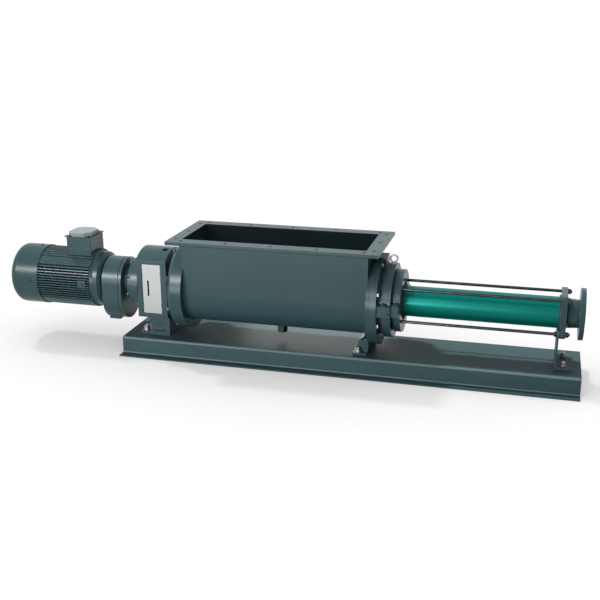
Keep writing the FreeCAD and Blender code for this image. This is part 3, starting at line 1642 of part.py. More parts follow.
def lifting_eye():
    seat = axis_height + adaptor_disc_radius - eye_flat
    collar = Part.makeCylinder(eye_collar_radius, eye_collar_height, point(eye_x(), 0, seat))
    shank = Part.makeCylinder(eye_thread / 2, eye_shank, point(eye_x(), 0, seat - eye_shank))
    centre = point(eye_x(), 0, seat + eye_collar_height + eye_ring_radius + eye_wire_radius * 0.6)
    loop = Part.makeTorus(eye_ring_radius, eye_wire_radius, centre, Y_WAY)
    return joined([collar, shank, loop])


def rounded_square(x_start, x_end):
    half = end_plate_half_side
    return rounded_block((x_start, x_end), both_sides(half), (axis_height - half, axis_height + half),
                         end_plate_corner, X_WAY)


def end_piece():
    """Discharge branch: a plate for the tie rods, a neck and the pipe flange."""
    bore_in = 2 * eccentricity + rotor_diameter / 2 + 2
    body = joined([
        bar(x_end_collar + end_collar_length - 2, x_end_plate + bite, end_collar_radius),
        rounded_square(x_end_plate, x_end_neck),
        turned([(x_end_neck - bite, 0), (x_end_neck - bite, end_neck_radius + 5), (x_end_neck, end_neck_radius + 5),
                (x_end_neck + 8, end_neck_radius), (x_discharge_flange, end_neck_radius - 3),
                (x_discharge_flange + bite, end_neck_radius - 3), (x_discharge_flange + bite, 0)]),
        bar(x_discharge_flange, x_discharge_face - discharge_face_step, discharge_radius),
        bar(x_discharge_flange, x_discharge_face, discharge_face_radius),
        ring(x_end_collar, x_end_plate + bite, end_collar_radius, stator_tube_radius + running_fit),
    ])
    taper = turned([(x_end_collar - bite, 0), (x_end_collar - bite, bore_in), (x_end_plate, bore_in),
                    (x_end_neck, discharge_bore), (x_end_neck, 0)])
    cutters = [taper, bar(x_end_neck - bite, x_discharge_face + bite, discharge_bore)]
    cutters += [hole_at(tie_rod / 2 + bolt_hole_gap, place, X_WAY, 2 * end_plate_length)
                for place in tie_rod_places(x_end_plate - bite)]
    hole = hole_at(discharge_bolt_hole / 2, on_circle(discharge_bolt_circle / 2, 0, x_discharge_flange - bite),
                   X_WAY, 2 * discharge_flange_length)
    cutters += round_the_axis(hole, discharge_bolt_count, 180.0 / discharge_bolt_count)
    return without(body, cutters)


def leg_x():
    return x_end_plate - leg_sheet


def tie_rods():
    start = x_tie_ring + 6
    return [hole_at(tie_rod / 2, place, X_WAY, x_end_neck + tie_rod_tail - start)
            for place in tie_rod_places(start)]


def tie_rod_nuts():
    """Washer and nut on each rod's end, and a nut behind the leg on the two lower rods."""
    pieces = []
    for place in tie_rod_places(x_end_neck):
        pieces.append(washer(tie_rod, place, X_WAY))
        pieces.append(nut(tie_rod, place + X_WAY * tie_rod * washer_height_share, X_WAY))
        if place.z < axis_height:
            pieces.append(nut(tie_rod, point(leg_x(), place.y, place.z), -X_WAY))
    return pieces


def support_leg():
    """Bent sheet leg from the base to the two lower tie rods, open round the stator."""
    half = leg_width / 2
    top = axis_height - tie_rod_offset + leg_top_margin
    left = leg_x()
    right = left + leg_sheet
    upright = block((left, right), both_sides(half), (base_height, top))
    foot = block((left, right + leg_foot_length), both_sides(half), (base_height, base_height + leg_sheet))
    body = joined([upright, foot])
    bends = [edge for edge in body.Edges if is_along(edge, Y_WAY) and edge.BoundBox.ZMax < base_height + leg_sheet + 0.1
             and abs(edge.BoundBox.XMin - right) < 0.1 and edge.BoundBox.ZMin > base_height + 1]
    body = body.makeFillet(leg_bend_radius, bends)
    tips = [edge for edge in body.Edges if is_along(edge, X_WAY) and edge.BoundBox.ZMin > top - 1]
    body = body.makeFillet(leg_top_margin - 2, tips)
    cutters = [bar(left - bite, right + bite, end_collar_radius + 1)]
    cutters += [hole_at(tie_rod / 2 + bolt_hole_gap, place, X_WAY, 4 * leg_sheet)
                for place in tie_rod_places(left - leg_sheet)]
    cutters += [hole_at(leg_bolt / 2 + bolt_hole_gap, place - Z_WAY * bite, Z_WAY, 3 * leg_sheet)
                for place in leg_bolt_places()]
    return without(body, cutters)


def support_leg_bolts():
    return [piece for place in leg_bolt_places() for piece in stud_set(leg_bolt, leg_sheet, place)]


def main():
    os.makedirs("parts", exist_ok=True)
    save("base_frame", [base_frame()])
    save("lantern", [lantern()])
    save("lantern_guards", [guard(-1), guard(1)])
    save("lantern_foot", [lantern_foot()])
    save("lantern_foot_bolts", lantern_foot_bolts())
    save("gearbox_housing", [gearbox_housing()])
    save("gearbox_cover", [gearbox_cover()])
    save("gearbox_flange_bolts", gearbox_flange_bolts())
    save("gearbox_plugs", gearbox_plugs())
    save("gearbox_bearings", gearbox_bearings())
    save("output_wheel", [output_wheel()])
    save("motor_pinion", [motor_pinion()])
    save("countershaft", [countershaft()])
    save("countershaft_wheel", [first_wheel()])
    save("motor_frame", [motor_frame()])
    save("fan_cover", [fan_cover()])
    save("fan_cover_screws", fan_cover_screws())
    save("motor_rear_shield", [rear_shield()])
    save("motor_drive_shield", [drive_shield()])
    save("motor_stator_core", [stator_core()])
    save("motor_windings", stator_windings())
    save("motor_rotor_core", [rotor_core()])
    save("motor_shaft", [motor_shaft()])
    save("motor_bearings", motor_bearings())
    save("cooling_fan", [cooling_fan()])
    save("earth_bolt", [hex_bolt(earth_bolt, 12.0, earth_place(), -Y_WAY)])
    save("terminal_box", [terminal_box()])
    save("terminal_box_lid", [terminal_lid()])
    save("terminal_block", terminal_block())
    save("cable_glands", cable_glands())
    save("feed_hopper", [feed_hopper()])
    save("drain_plug", [drain_plug()])
    save("hopper_support", [hopper_support()])
    save("hopper_support_bolts", hopper_support_bolts())
    save("seal_housing", [seal_housing()])
    save("seal_housing_bolts", seal_housing_bolts())
    save("seal_seat", [seal_seat()])
    save("seal_ring", [seal_ring()])
    save("gear_output_shaft", [gear_output_shaft()])
    save("drive_shaft", [drive_shaft()])
    save("coupling_pin", [coupling_pin()])
    save("slinger_ring", [slinger_ring()])
    save("drive_joint_pin", [drive_joint_pin()])
    save("drive_joint_boot", [drive_joint_boot()])
    save("coupling_rod", [coupling_rod()])
    save("feed_screw", [feed_screw()])
    save("rotor_joint_sleeve", [rotor_joint_sleeve()])
    save("rotor_joint_pin", [rotor_joint_pin()])
    save("rotor", [rotor()])
    save("stator_tube", [stator_tube()])
    save("stator_lining", [stator_lining()])
    save("stator_adaptor", [stator_adaptor()])
    save("adaptor_bolts", adaptor_bolts())
    save("lug_bolts", lug_bolts())
    save("lifting_eye", [lifting_eye()])
    save("end_piece", [end_piece()])
    save("tie_rods", tie_rods())
    save("tie_rod_nuts", tie_rod_nuts())
    save("support_leg", [support_leg()])
    save("support_leg_bolts", support_leg_bolts())


main()
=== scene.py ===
# Finishes, fasteners, weld seams and studio for a progressive cavity pump with a feed hopper.
import json
import math
from collections import namedtuple

import bmesh
import bpy
from mathutils import Matrix, Vector


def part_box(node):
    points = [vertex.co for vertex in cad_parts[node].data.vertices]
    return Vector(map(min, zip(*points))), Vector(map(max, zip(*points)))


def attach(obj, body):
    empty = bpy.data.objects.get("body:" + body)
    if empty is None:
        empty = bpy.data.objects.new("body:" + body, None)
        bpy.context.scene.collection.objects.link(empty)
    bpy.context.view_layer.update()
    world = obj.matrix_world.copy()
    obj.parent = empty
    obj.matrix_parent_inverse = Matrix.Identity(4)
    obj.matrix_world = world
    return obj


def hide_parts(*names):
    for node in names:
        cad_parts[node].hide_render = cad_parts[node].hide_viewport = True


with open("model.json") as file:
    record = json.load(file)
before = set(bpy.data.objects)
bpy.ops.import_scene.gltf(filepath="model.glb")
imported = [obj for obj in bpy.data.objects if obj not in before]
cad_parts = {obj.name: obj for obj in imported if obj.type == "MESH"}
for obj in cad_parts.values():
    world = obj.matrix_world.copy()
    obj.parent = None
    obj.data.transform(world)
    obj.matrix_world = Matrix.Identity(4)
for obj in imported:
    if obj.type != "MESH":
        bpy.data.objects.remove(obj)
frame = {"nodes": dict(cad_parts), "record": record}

bl_info = {
    "name": "Progressive Cavity Pump",
    "version": (1, 0, 0),
    "blender": (4, 5, 0),
    "location": "3D View > Sidebar > Pump",
    "description": "Finishes, fasteners and weld seams of a pump with a feed hopper",
    "category": "Object",
}


def linear(code):
    """Turn an sRGB hex colour into linear red, green and blue."""
    parts = [int(code[i:i + 2], 16) / 255 for i in (1, 3, 5)]
    return tuple(p / 12.92 if p <= 0.04045 else ((p + 0.055) / 1.055) ** 2.4 for p in parts)


def colour(name, description, code):
    """Make a colour property from its sRGB hex value."""
    return bpy.props.FloatVectorProperty(
        name=name, description=description, subtype="COLOR", size=3, min=0.0, max=1.0,
        default=linear(code))


def length(name, description, default):
    """Make a length property in metres."""
    return bpy.props.FloatProperty(
        name=name, description=description, default=default, min=0.0001, precision=4,
        unit="LENGTH", subtype="DISTANCE")


class PumpColours(bpy.types.PropertyGroup):
    """Colours of the pump's finishes and of the studio."""
    machine: colour("Machine enamel", "Blue grey enamel on castings and hopper", "#2D4347")
    base: colour("Base enamel", "Duller enamel on the folded base and the leg", "#384D50")
    # Pale edge colour: partly worn enamel, partly a painted highlight on sharp edges and folds.
    worn_edge_and_highlight: colour("Thin enamel", "Enamel where it is thin over a sharp edge", "#5F7276")
    tube: colour("Tube enamel", "Green enamel on the stator tube", "#00665D")
    guard: colour("Guard sheet", "Satin sheet of the guards over the lantern's windows", "#7E8080")
    zinc: colour("Zinc", "Zinc plated bolts, nuts and rings", "#8B9093")
    steel: colour("Bare steel", "Machined shafts and pins", "#A9AEB2")
    stainless: colour("Stainless", "Rolled stainless feed screw", "#B4B6B5")
    chrome: colour("Hard chrome", "Ground and chromed rotor", "#CDD1D3")
    rubber: colour("Rubber", "Black rubber of the lining and the boots", "#17181A")
    # The castings' enamel, lightened as painted top light on the lid.
    lid: colour("Lid enamel", "Pale enamel on the terminal box's lid", "#7B8486")
    rod: colour("Tie rod steel", "Dark oiled steel of the tie rods and their nuts", "#3B4044")
    floor: colour("Floor", "Studio floor", "#F2F2F2")


class PumpSizes(bpy.types.PropertyGroup):
    """Sizes of the details added to the frame."""
    thread_pitch: length("Thread pitch", "Distance between two turns of a visible thread", 0.002)
    washer_edge: length("Washer edge", "Rounding of a washer's rim", 0.0004)
    weld_radius: length("Weld radius", "Radius of a weld bead", 0.0035)
    weld_pitch: length("Weld pitch", "Distance between two ripples of a weld bead", 0.006)
    edge_radius: length("Edge radius", "Rounding that the enamel shows on sharp edges", 0.0015)


# Nodes and materials

CLOUD_RANGE = (0.15, 0.85)   # noise values between which a mottle goes from dark to light
SMOOTHEST = 0.02             # no finish is smoother than this
EDGE_WEAR_AND_HIGHLIGHT_SHARE = 0.55           # share of the pale edge colour on a sharp edge, which is worn enamel and painted highlight
EDGE_TURN = (0.8, 0.98)      # cosines of the turn at an edge, where the pale edge colour is strongest and where it ends
BEND_SLOPE = (0.1, 0.35)     # slope values at which the painted highlight along a fold starts and is full
BASE_EDGE_WEAR_AND_HIGHLIGHT_WIDTH = 2.5           # how much wider the base's pale edges, worn enamel with a painted highlight, are than the others
WAVE_RADIANS = 20            # radians that a wave texture of scale 1 turns in a metre


def add_node(tree, kind, inputs=None, **settings):
    """Add a node; an input is given a value, or an output socket that it is linked from."""
    node = tree.nodes.new(kind)
    for name, value in settings.items():
        setattr(node, name, value)
    for key, value in (inputs or {}).items():
        if isinstance(value, bpy.types.NodeSocket):
            tree.links.new(value, node.inputs[key])
        else:
            node.inputs[key].default_value = value
    return node


def new_material(name):
    """Make an empty node material; return it with its tree."""
    material = bpy.data.materials.new(name)
    material.use_nodes = True
    material.node_tree.nodes.clear()
    return material, material.node_tree


def surface(name, base, rough, metal=0.0, mottle=(0.15, 0.06), grain=(0.002, 0.0001),
            stretch=(1, 1, 1), rough_spread=0.06, edge=None, bend_highlight=0.0, coat=0.0,
            coat_rough=0.15, lines=None, shine=0.5):
    """Make one finish.

    mottle is the size in metres and depth of its colour changes, grain the size and height of
    its bumps, edge the colour and radius of a pale edge, which is partly worn enamel and partly
    a painted highlight, bends how much of that colour shows as a painted highlight where sheet
    turns from its side to its top, and lines the width of one radian and the height of ridges
    across X. Real grain is often finer than a tenth of a millimetre, and is drawn at 0.6 mm or
    more, so that it shows.
    """
    material, tree = new_material(name)
    place = add_node(tree, "ShaderNodeTexCoord").outputs["Object"]
    laid = add_node(tree, "ShaderNodeMapping", {"Vector": place, "Scale": stretch})
    patches = add_node(tree, "ShaderNodeTexNoise", {
        "Vector": place, "Scale": 1 / mottle[0], "Detail": 4.0})
    cloudy = add_node(tree, "ShaderNodeMapRange", {
        "Value": patches.outputs["Fac"], "From Min": CLOUD_RANGE[0], "From Max": CLOUD_RANGE[1]},
        interpolation_type="SMOOTHSTEP").outputs["Result"]
    dark = tuple(c * (1 - mottle[1]) for c in base)
    light = tuple(min(1.0, c * (1 + mottle[1])) for c in base)
    tint = add_node(tree, "ShaderNodeMix", {
        0: cloudy, 6: (*dark, 1), 7: (*light, 1)}, data_type="RGBA").outputs[2]
    gloss = add_node(tree, "ShaderNodeMapRange", {
        "Value": cloudy, "To Min": max(SMOOTHEST, rough - rough_spread),
        "To Max": rough + rough_spread}).outputs["Result"]
    bumps = add_node(tree, "ShaderNodeTexNoise", {
        "Vector": laid.outputs["Vector"], "Scale": 1 / grain[0], "Detail": 3.0})
    relief = {"Height": bumps.outputs["Fac"], "Strength": 1.0, "Distance": grain[1]}
    # Paler colour on sharp edges: partly worn enamel, partly a painted highlight where edges catch
    # the light.
    if edge:
        rounded = add_node(tree, "ShaderNodeBevel", {"Radius": edge[1]}, samples=4).outputs["Normal"]
        flat = add_node(tree, "ShaderNodeNewGeometry").outputs["Normal"]
        same = add_node(tree, "ShaderNodeVectorMath", {0: rounded, 1: flat}, operation="DOT_PRODUCT")
        thin_and_lit = add_node(tree, "ShaderNodeMapRange", {
            "Value": same.outputs["Value"], "From Min": EDGE_TURN[0], "From Max": EDGE_TURN[1],
            "To Min": EDGE_WEAR_AND_HIGHLIGHT_SHARE, "To Max": 0.0}).outputs["Result"]
        tint = add_node(tree, "ShaderNodeMix", {
            0: thin_and_lit, 6: tint, 7: (*edge[0], 1)}, data_type="RGBA").outputs[2]
        relief["Normal"] = rounded
        # Painted highlight: a paler line where sheet turns from its side to its top.
        if bend_highlight:
            turned = add_node(tree, "ShaderNodeSeparateXYZ", {"Vector": flat}).outputs
            aside = add_node(tree, "ShaderNodeMath", {0: turned["Y"]}, operation="ABSOLUTE")
            slope = add_node(tree, "ShaderNodeMath", {
                0: aside.outputs[0], 1: turned["Z"]}, operation="MULTIPLY").outputs[0]
            painted_bend_highlight = add_node(tree, "ShaderNodeMapRange", {
                "Value": slope, "From Min": BEND_SLOPE[0], "From Max": BEND_SLOPE[1],
                "To Max": bend_highlight}).outputs["Result"]
            tint = add_node(tree, "ShaderNodeMix", {
                0: painted_bend_highlight, 6: tint, 7: (*edge[0], 1)}, data_type="RGBA").outputs[2]
    normal = add_node(tree, "ShaderNodeBump", relief).outputs["Normal"]
    if lines:
        waves = add_node(tree, "ShaderNodeTexWave", {
            "Vector": place, "Scale": 1 / (lines[0] * WAVE_RADIANS), "Distortion": 0.4,
            "Detail": 1.0}, wave_type="BANDS", bands_direction="X")
        normal = add_node(tree, "ShaderNodeBump", {
            "Height": waves.outputs["Fac"], "Strength": 1.0, "Distance": lines[1],
            "Normal": normal}).outputs["Normal"]
    shader = add_node(tree, "ShaderNodeBsdfPrincipled", {
        "Base Color": tint, "Metallic": metal, "Roughness": gloss, "Normal": normal,
        "Specular IOR Level": shine, "Coat Weight": coat, "Coat Roughness": coat_rough})
    add_node(tree, "ShaderNodeOutputMaterial", {"Surface": shader.outputs["BSDF"]})
    return material


FINISHES = {}


def finishes(context):
    """Every finish of the pump, under the name of its slot."""
    if FINISHES:
        return FINISHES
    tones = context.scene.pump_colours
    sizes = context.scene.pump_sizes
    # Pale edges: worn enamel with a painted highlight, wider on the base.
    thin_and_lit = (tones.worn_edge_and_highlight, sizes.edge_radius)
    base_edge_wear_and_highlight = (tones.worn_edge_and_highlight, BASE_EDGE_WEAR_AND_HIGHLIGHT_WIDTH * sizes.edge_radius)
    FINISHES.update({
        # Sprayed satin enamel over sand castings: soft highlights and a fine pebbled skin.
        "cast_enamel": surface(
            "Enamel on castings", tones.machine, 0.3, mottle=(0.12, 0.04),
            grain=(0.0025, 0.00003), edge=thin_and_lit, rough_spread=0.02, shine=0.2),
        # The same enamel on plate: flatter, with a slight orange peel and a broader sheen.
        "machine_paint": surface(
            "Enamel on sheet steel", tones.machine, 0.29, mottle=(0.3, 0.03),
            grain=(0.004, 0.00001), edge=thin_and_lit, rough_spread=0.02, shine=0.15),
        # The base's enamel, dulled by feet and dust: nearly matt, so its top shows shadows
        # clearly, with wider pale edges and a painted highlight as a pale line along its folds.
        "base_paint": surface(
            "Dull enamel on folded sheet", tones.base, 0.42, mottle=(0.25, 0.05),
            grain=(0.004, 0.00002), edge=base_edge_wear_and_highlight, bend_highlight=1.0, rough_spread=0.03, shine=0.04),
        # Glossy green enamel on a drawn tube: a clear narrow highlight along its length.
        "tube_paint": surface(
            "Green gloss enamel", tones.tube, 0.34, 0.44, mottle=(0.2, 0.02),
            grain=(0.006, 0.00001), rough_spread=0.02, shine=0.12),
        # Satin ground sheet: a pale even grey with faint upright brush marks.
        "guard_sheet": surface(
            "Brushed sheet", tones.guard, 0.5, 0.6, mottle=(0.08, 0.03),
            grain=(0.0012, 0.00003), stretch=(1, 1, 0.03)),
        # Bright zinc plating: silver with a faint cloudy mottle.
        "zinc_steel": surface(
            "Bright zinc plate", tones.zinc, 0.36, 1.0, mottle=(0.006, 0.1),
            grain=(0.001, 0.00002)),
        # Turned steel: silver grey with tool marks round the shaft, drawn 5 mm apart so that
        # they show.
        "machined_steel": surface(
            "Turned steel", tones.steel, 0.28, 1.0, mottle=(0.03, 0.05),
            grain=(0.001, 0.00001), lines=(0.0008, 0.00002)),
        # Rolled stainless: matt silver with long drawn marks.
        "stainless_screw": surface(
            "Rolled stainless", tones.stainless, 0.36, 1.0, mottle=(0.05, 0.06),
            grain=(0.0015, 0.00003), stretch=(0.2, 1, 1)),
        # Ground hard chrome: near mirror.
        "hard_chrome": surface(
            "Hard chrome", tones.chrome, 0.09, 1.0, mottle=(0.04, 0.02),
            grain=(0.003, 0.000005), rough_spread=0.02),
        # Moulded black rubber: dull, with a faint bloom.
        "black_rubber": surface(
            "Moulded rubber", tones.rubber, 0.7, mottle=(0.02, 0.25), grain=(0.0012, 0.00006)),
        # Oiled case hardened steel: dark grey with a wet sheen.
        "gear_steel": surface(
            "Oiled gear steel", linear("#7F8488"), 0.3, 1.0, mottle=(0.015, 0.12),
            grain=(0.001, 0.00002), coat=0.4, coat_rough=0.08),
        # Ground bearing steel: bright and smooth.
        "bearing_steel": surface(
            "Ground bearing steel", linear("#B7BBBF"), 0.18, 1.0, mottle=(0.02, 0.04),
            grain=(0.0008, 0.00001)),
        # Stacked core sheets: dull blue grey with lines round the stack, drawn 6 mm apart so
        # that they show.
        "core_steel": surface(
            "Stacked core sheet", linear("#6B7075"), 0.45, 0.9, mottle=(0.02, 0.08),
            grain=(0.001, 0.00002), lines=(0.001, 0.00015)),
        # Varnished copper wire: warm brown red with a syrupy gloss over the strands.
        "winding_copper": surface(
            "Varnished copper", linear("#A4542B"), 0.3, 0.8, mottle=(0.01, 0.15),
            grain=(0.0016, 0.0004), stretch=(0.2, 1, 1), coat=0.6, coat_rough=0.1),
        # Moulded polypropylene: soft black with a low sheen.
        "fan_plastic": surface(
            "Moulded polypropylene", linear("#1B1D1E"), 0.5, mottle=(0.04, 0.08),
            grain=(0.001, 0.00003)),
        # Moulded polyamide: dark grey with a spark eroded texture.
        "gland_plastic": surface(
            "Moulded polyamide", linear("#2B3032"), 0.48, mottle=(0.02, 0.08),
            grain=(0.0008, 0.00005)),
        # Pressed phenolic resin: brown black and slightly glossy.
        "block_plastic": surface(
            "Pressed phenolic resin", linear("#2A211C"), 0.35, mottle=(0.01, 0.2),
            grain=(0.001, 0.00002)),
        # Lapped silicon carbide: grey black with a dull mirror face.
        "seal_carbide": surface(
            "Lapped silicon carbide", linear("#3B3E42"), 0.16, 0.3, mottle=(0.004, 0.1),
            grain=(0.0006, 0.000005), rough_spread=0.03),
        # Enamel on the pressed lid of the terminal box, made lighter than the castings as painted
        # light on its top.
        "lid_paint": surface(
            "Lid enamel lightened as painted top light", tones.lid, 0.34, mottle=(0.05, 0.04),
            grain=(0.003, 0.00005), shine=0.12),
        # Drawn and oiled bar: dark, nearly black steel with a long thin highlight.
        "rod_steel": surface(
            "Oiled drawn bar", tones.rod, 0.24, 1.0, mottle=(0.02, 0.08),
            grain=(0.001, 0.00001), stretch=(0.1, 1, 1)),
        # Blackened screws: dull charcoal.
        "black_screw": surface(
            "Blackened screw steel", linear("#33383A"), 0.4, 0.8, mottle=(0.004, 0.1),
            grain=(0.0008, 0.00002)),
    })
    return FINISHES


CASTINGS = (
    "lantern", "lantern_foot", "gearbox_housing", "gearbox_cover", "motor_frame",
    "motor_rear_shield", "motor_drive_shield", "terminal_box", "seal_housing",
    "stator_adaptor", "end_piece", "earth_bolt",
)
# Nodes whose finish isn't that of their slot
OWN_FINISH = {
    "tie_rods": "rod_steel", "drain_plug": "rod_steel", "fan_cover_screws": "black_screw",
    "base_frame": "base_paint", "support_leg": "base_paint",
    **{name: "cast_enamel" for name in CASTINGS},
}


class PUMP_OT_finishes(bpy.types.Operator):
    """Give every solid of the frame its finish"""
    bl_idname = "pump.finishes"
    bl_label = "Finishes"

    def execute(self, context):
        kinds = finishes(context)
        slots = {part["node"]: part["material_slot"] for part in frame["record"]["subparts"]}
        for name, node in frame["nodes"].items():
            node.data.materials.clear()
            node.data.materials.append(kinds[OWN_FINISH.get(name, slots[name])])
        return {"FINISHED"}


# Geometry trees

CHAMFER_FLAT = 0.84          # radius of a head's round flat, as a share of its corner radius
CHAMFER_SLOPE = 1.732        # run of a chamfer for each unit that it falls, at 30 degrees
CUTTER_PAST = 0.1            # how far the chamfering cone passes each end, as a share of the height
THREAD_ROOT = 0.88           # root radius of a thread, as a share of its outer radius
BEAD_THIN = 0.8              # thickness of a weld bead between two ripples
BEAD_SWELL = 0.22            # what a ripple adds to it
BEAD_UNEVEN = 0.16           # random spread of it
BEAD_PATCHES = 60.0          # patches of that spread in a metre
BEAD_STATIONS = 4            # points along each ripple
CUTTER_SIDES, THREAD_SIDES, WASHER_SIDES, BEAD_SIDES = 60, 24, 40, 10
RIM_STEPS = 2                # straight steps round a washer's rim


def new_tree(name, sockets):
    """Make a geometry tree with named inputs; return it with the identifier of each."""
    tree = bpy.data.node_groups.new(name, "GeometryNodeTree")
    tree.interface.new_socket("Geometry", in_out="OUTPUT", socket_type="NodeSocketGeometry")
    tree.interface.new_socket("Geometry", in_out="INPUT", socket_type="NodeSocketGeometry")
    for label, kind in sockets.items():
        tree.interface.new_socket(label, in_out="INPUT", socket_type=kind)
    inputs = [item for item in tree.interface.items_tree if item.in_out == "INPUT"]
    return tree, {item.name: item.identifier for item in inputs}


def finish_tree(tree, geometry, material):
    """End a tree: real geometry with its material."""
    real = add_node(tree, "GeometryNodeRealizeInstances", {"Geometry": geometry})
    dressed = add_node(tree, "GeometryNodeSetMaterial", {
        "Geometry": real.outputs["Geometry"], "Material": material})
    add_node(tree, "NodeGroupOutput", {"Geometry": dressed.outputs["Geometry"]})


def lifted(tree, geometry, height):
    """Move geometry up by a height that another node gives."""
    way = add_node(tree, "ShaderNodeCombineXYZ", {"Z": height}).outputs["Vector"]
    return add_node(tree, "GeometryNodeTransform", {
        "Geometry": geometry, "Translation": way}).outputs["Geometry"]


def along_spans(tree, points, wanted, instance, spin=None):
    """Put an instance on the wanted points, its Z along the curve, turned about it by spin."""
    tangent = add_node(tree, "GeometryNodeInputTangent").outputs["Tangent"]
    turn = add_node(tree, "FunctionNodeAlignRotationToVector", {
        "Vector": tangent}, axis="Z").outputs["Rotation"]
    if spin is not None:
        turn = add_node(tree, "FunctionNodeRotateRotation", {
            "Rotation": turn, "Rotate By": spin}, rotation_space="LOCAL").outputs["Rotation"]
    return add_node(tree, "GeometryNodeInstanceOnPoints", {
        "Points": points, "Selection": wanted, "Instance": instance,
        "Rotation": turn}).outputs["Instances"]


def hexagon_tree():
    """Chamfered hexagon on each span: a bolt head, or a nut where both ends are chamfered."""
    tree, keys = new_tree("Hexagon head", {
        "Corner Radius": "NodeSocketFloat", "Height": "NodeSocketFloat",
        "Both Ends": "NodeSocketBool", "Seed": "NodeSocketInt", "Material": "NodeSocketMaterial"})
    given = add_node(tree, "NodeGroupInput").outputs
    half = add_node(tree, "ShaderNodeMath", {0: given["Height"], 1: 2.0}, operation="DIVIDE")
    prism = add_node(tree, "GeometryNodeMeshCylinder", {
        "Vertices": 6, "Radius": given["Corner Radius"], "Depth": given["Height"]})
    prism = lifted(tree, prism.outputs["Mesh"], half.outputs[0])
    flat = add_node(tree, "ShaderNodeMath", {
        0: given["Corner Radius"], 1: CHAMFER_FLAT}, operation="MULTIPLY").outputs[0]
    past = add_node(tree, "ShaderNodeMath", {
        0: given["Height"], 1: CUTTER_PAST}, operation="MULTIPLY").outputs[0]
    below = add_node(tree, "ShaderNodeMath", {0: past, 1: -1.0}, operation="MULTIPLY").outputs[0]
    depth = add_node(tree, "ShaderNodeMath", {
        0: given["Height"], 1: 1 + 2 * CUTTER_PAST}, operation="MULTIPLY").outputs[0]
    narrow = add_node(tree, "ShaderNodeMath", {
        0: past, 1: -CHAMFER_SLOPE, 2: flat}, operation="MULTIPLY_ADD").outputs[0]
    wide = add_node(tree, "ShaderNodeMath", {
        0: depth, 1: CHAMFER_SLOPE, 2: narrow}, operation="MULTIPLY_ADD").outputs[0]
    trimmed = [prism]
    for top, bottom in ((narrow, wide), (wide, narrow)):
        cone = add_node(tree, "GeometryNodeMeshCone", {
            "Vertices": CUTTER_SIDES, "Radius Top": top, "Radius Bottom": bottom,
            "Depth": depth})
        cone = lifted(tree, cone.outputs["Mesh"], below)
        cut = add_node(tree, "GeometryNodeMeshBoolean", {
            "Mesh": cone}, operation="INTERSECT", solver="EXACT")
        tree.links.new(trimmed[-1], cut.inputs["Mesh"])
        trimmed.append(cut.outputs["Mesh"])
    head = add_node(tree, "GeometryNodeSwitch", {
        "Switch": given["Both Ends"], "False": trimmed[1], "True": trimmed[2]},
        input_type="GEOMETRY").outputs["Output"]
    spans = add_node(tree, "GeometryNodeMeshToCurve", {"Mesh": given["Geometry"]}).outputs["Curve"]
    starts = add_node(tree, "GeometryNodeCurveEndpointSelection", {"Start Size": 1, "End Size": 0})
    angle = add_node(tree, "FunctionNodeRandomValue", {
        "Max": (0.0, 0.0, math.tau), "Seed": given["Seed"]}, data_type="FLOAT_VECTOR")
    spin = add_node(tree, "FunctionNodeEulerToRotation", {"Euler": angle.outputs["Value"]})
    heads = along_spans(tree, spans, starts.outputs["Selection"], head, spin.outputs["Rotation"])
    finish_tree(tree, heads, given["Material"])
    return tree, keys


def thread_tree():
    """Threaded bar along each span, a ring with two sloping flanks for each turn."""
    tree, keys = new_tree("Threaded bar", {
        "Radius": "NodeSocketFloat", "Pitch": "NodeSocketFloat", "Material": "NodeSocketMaterial"})
    given = add_node(tree, "NodeGroupInput").outputs
    root = add_node(tree, "ShaderNodeMath", {
        0: given["Radius"], 1: THREAD_ROOT}, operation="MULTIPLY").outputs[0]
    half = add_node(tree, "ShaderNodeMath", {
        0: given["Pitch"], 1: 2.0}, operation="DIVIDE").outputs[0]
    low = add_node(tree, "GeometryNodeMeshCone", {
        "Vertices": THREAD_SIDES, "Radius Bottom": root, "Radius Top": given["Radius"],
        "Depth": half})
    high = add_node(tree, "GeometryNodeMeshCone", {
        "Vertices": THREAD_SIDES, "Radius Bottom": given["Radius"], "Radius Top": root,
        "Depth": half})
    turn = add_node(tree, "GeometryNodeJoinGeometry", {"Geometry": low.outputs["Mesh"]})
    tree.links.new(lifted(tree, high.outputs["Mesh"], half), turn.inputs["Geometry"])
    spans = add_node(tree, "GeometryNodeMeshToCurve", {"Mesh": given["Geometry"]}).outputs["Curve"]
    stations = add_node(tree, "GeometryNodeResampleCurve", {
        "Curve": spans, "Length": given["Pitch"]}, mode="LENGTH").outputs["Curve"]
    last = add_node(tree, "GeometryNodeCurveEndpointSelection", {"Start Size": 0, "End Size": 1})
    kept = add_node(tree, "FunctionNodeBooleanMath", {
        0: last.outputs["Selection"]}, operation="NOT").outputs[0]
    turns = along_spans(tree, stations, kept, turn.outputs["Geometry"])
    finish_tree(tree, turns, given["Material"])
    return tree, keys


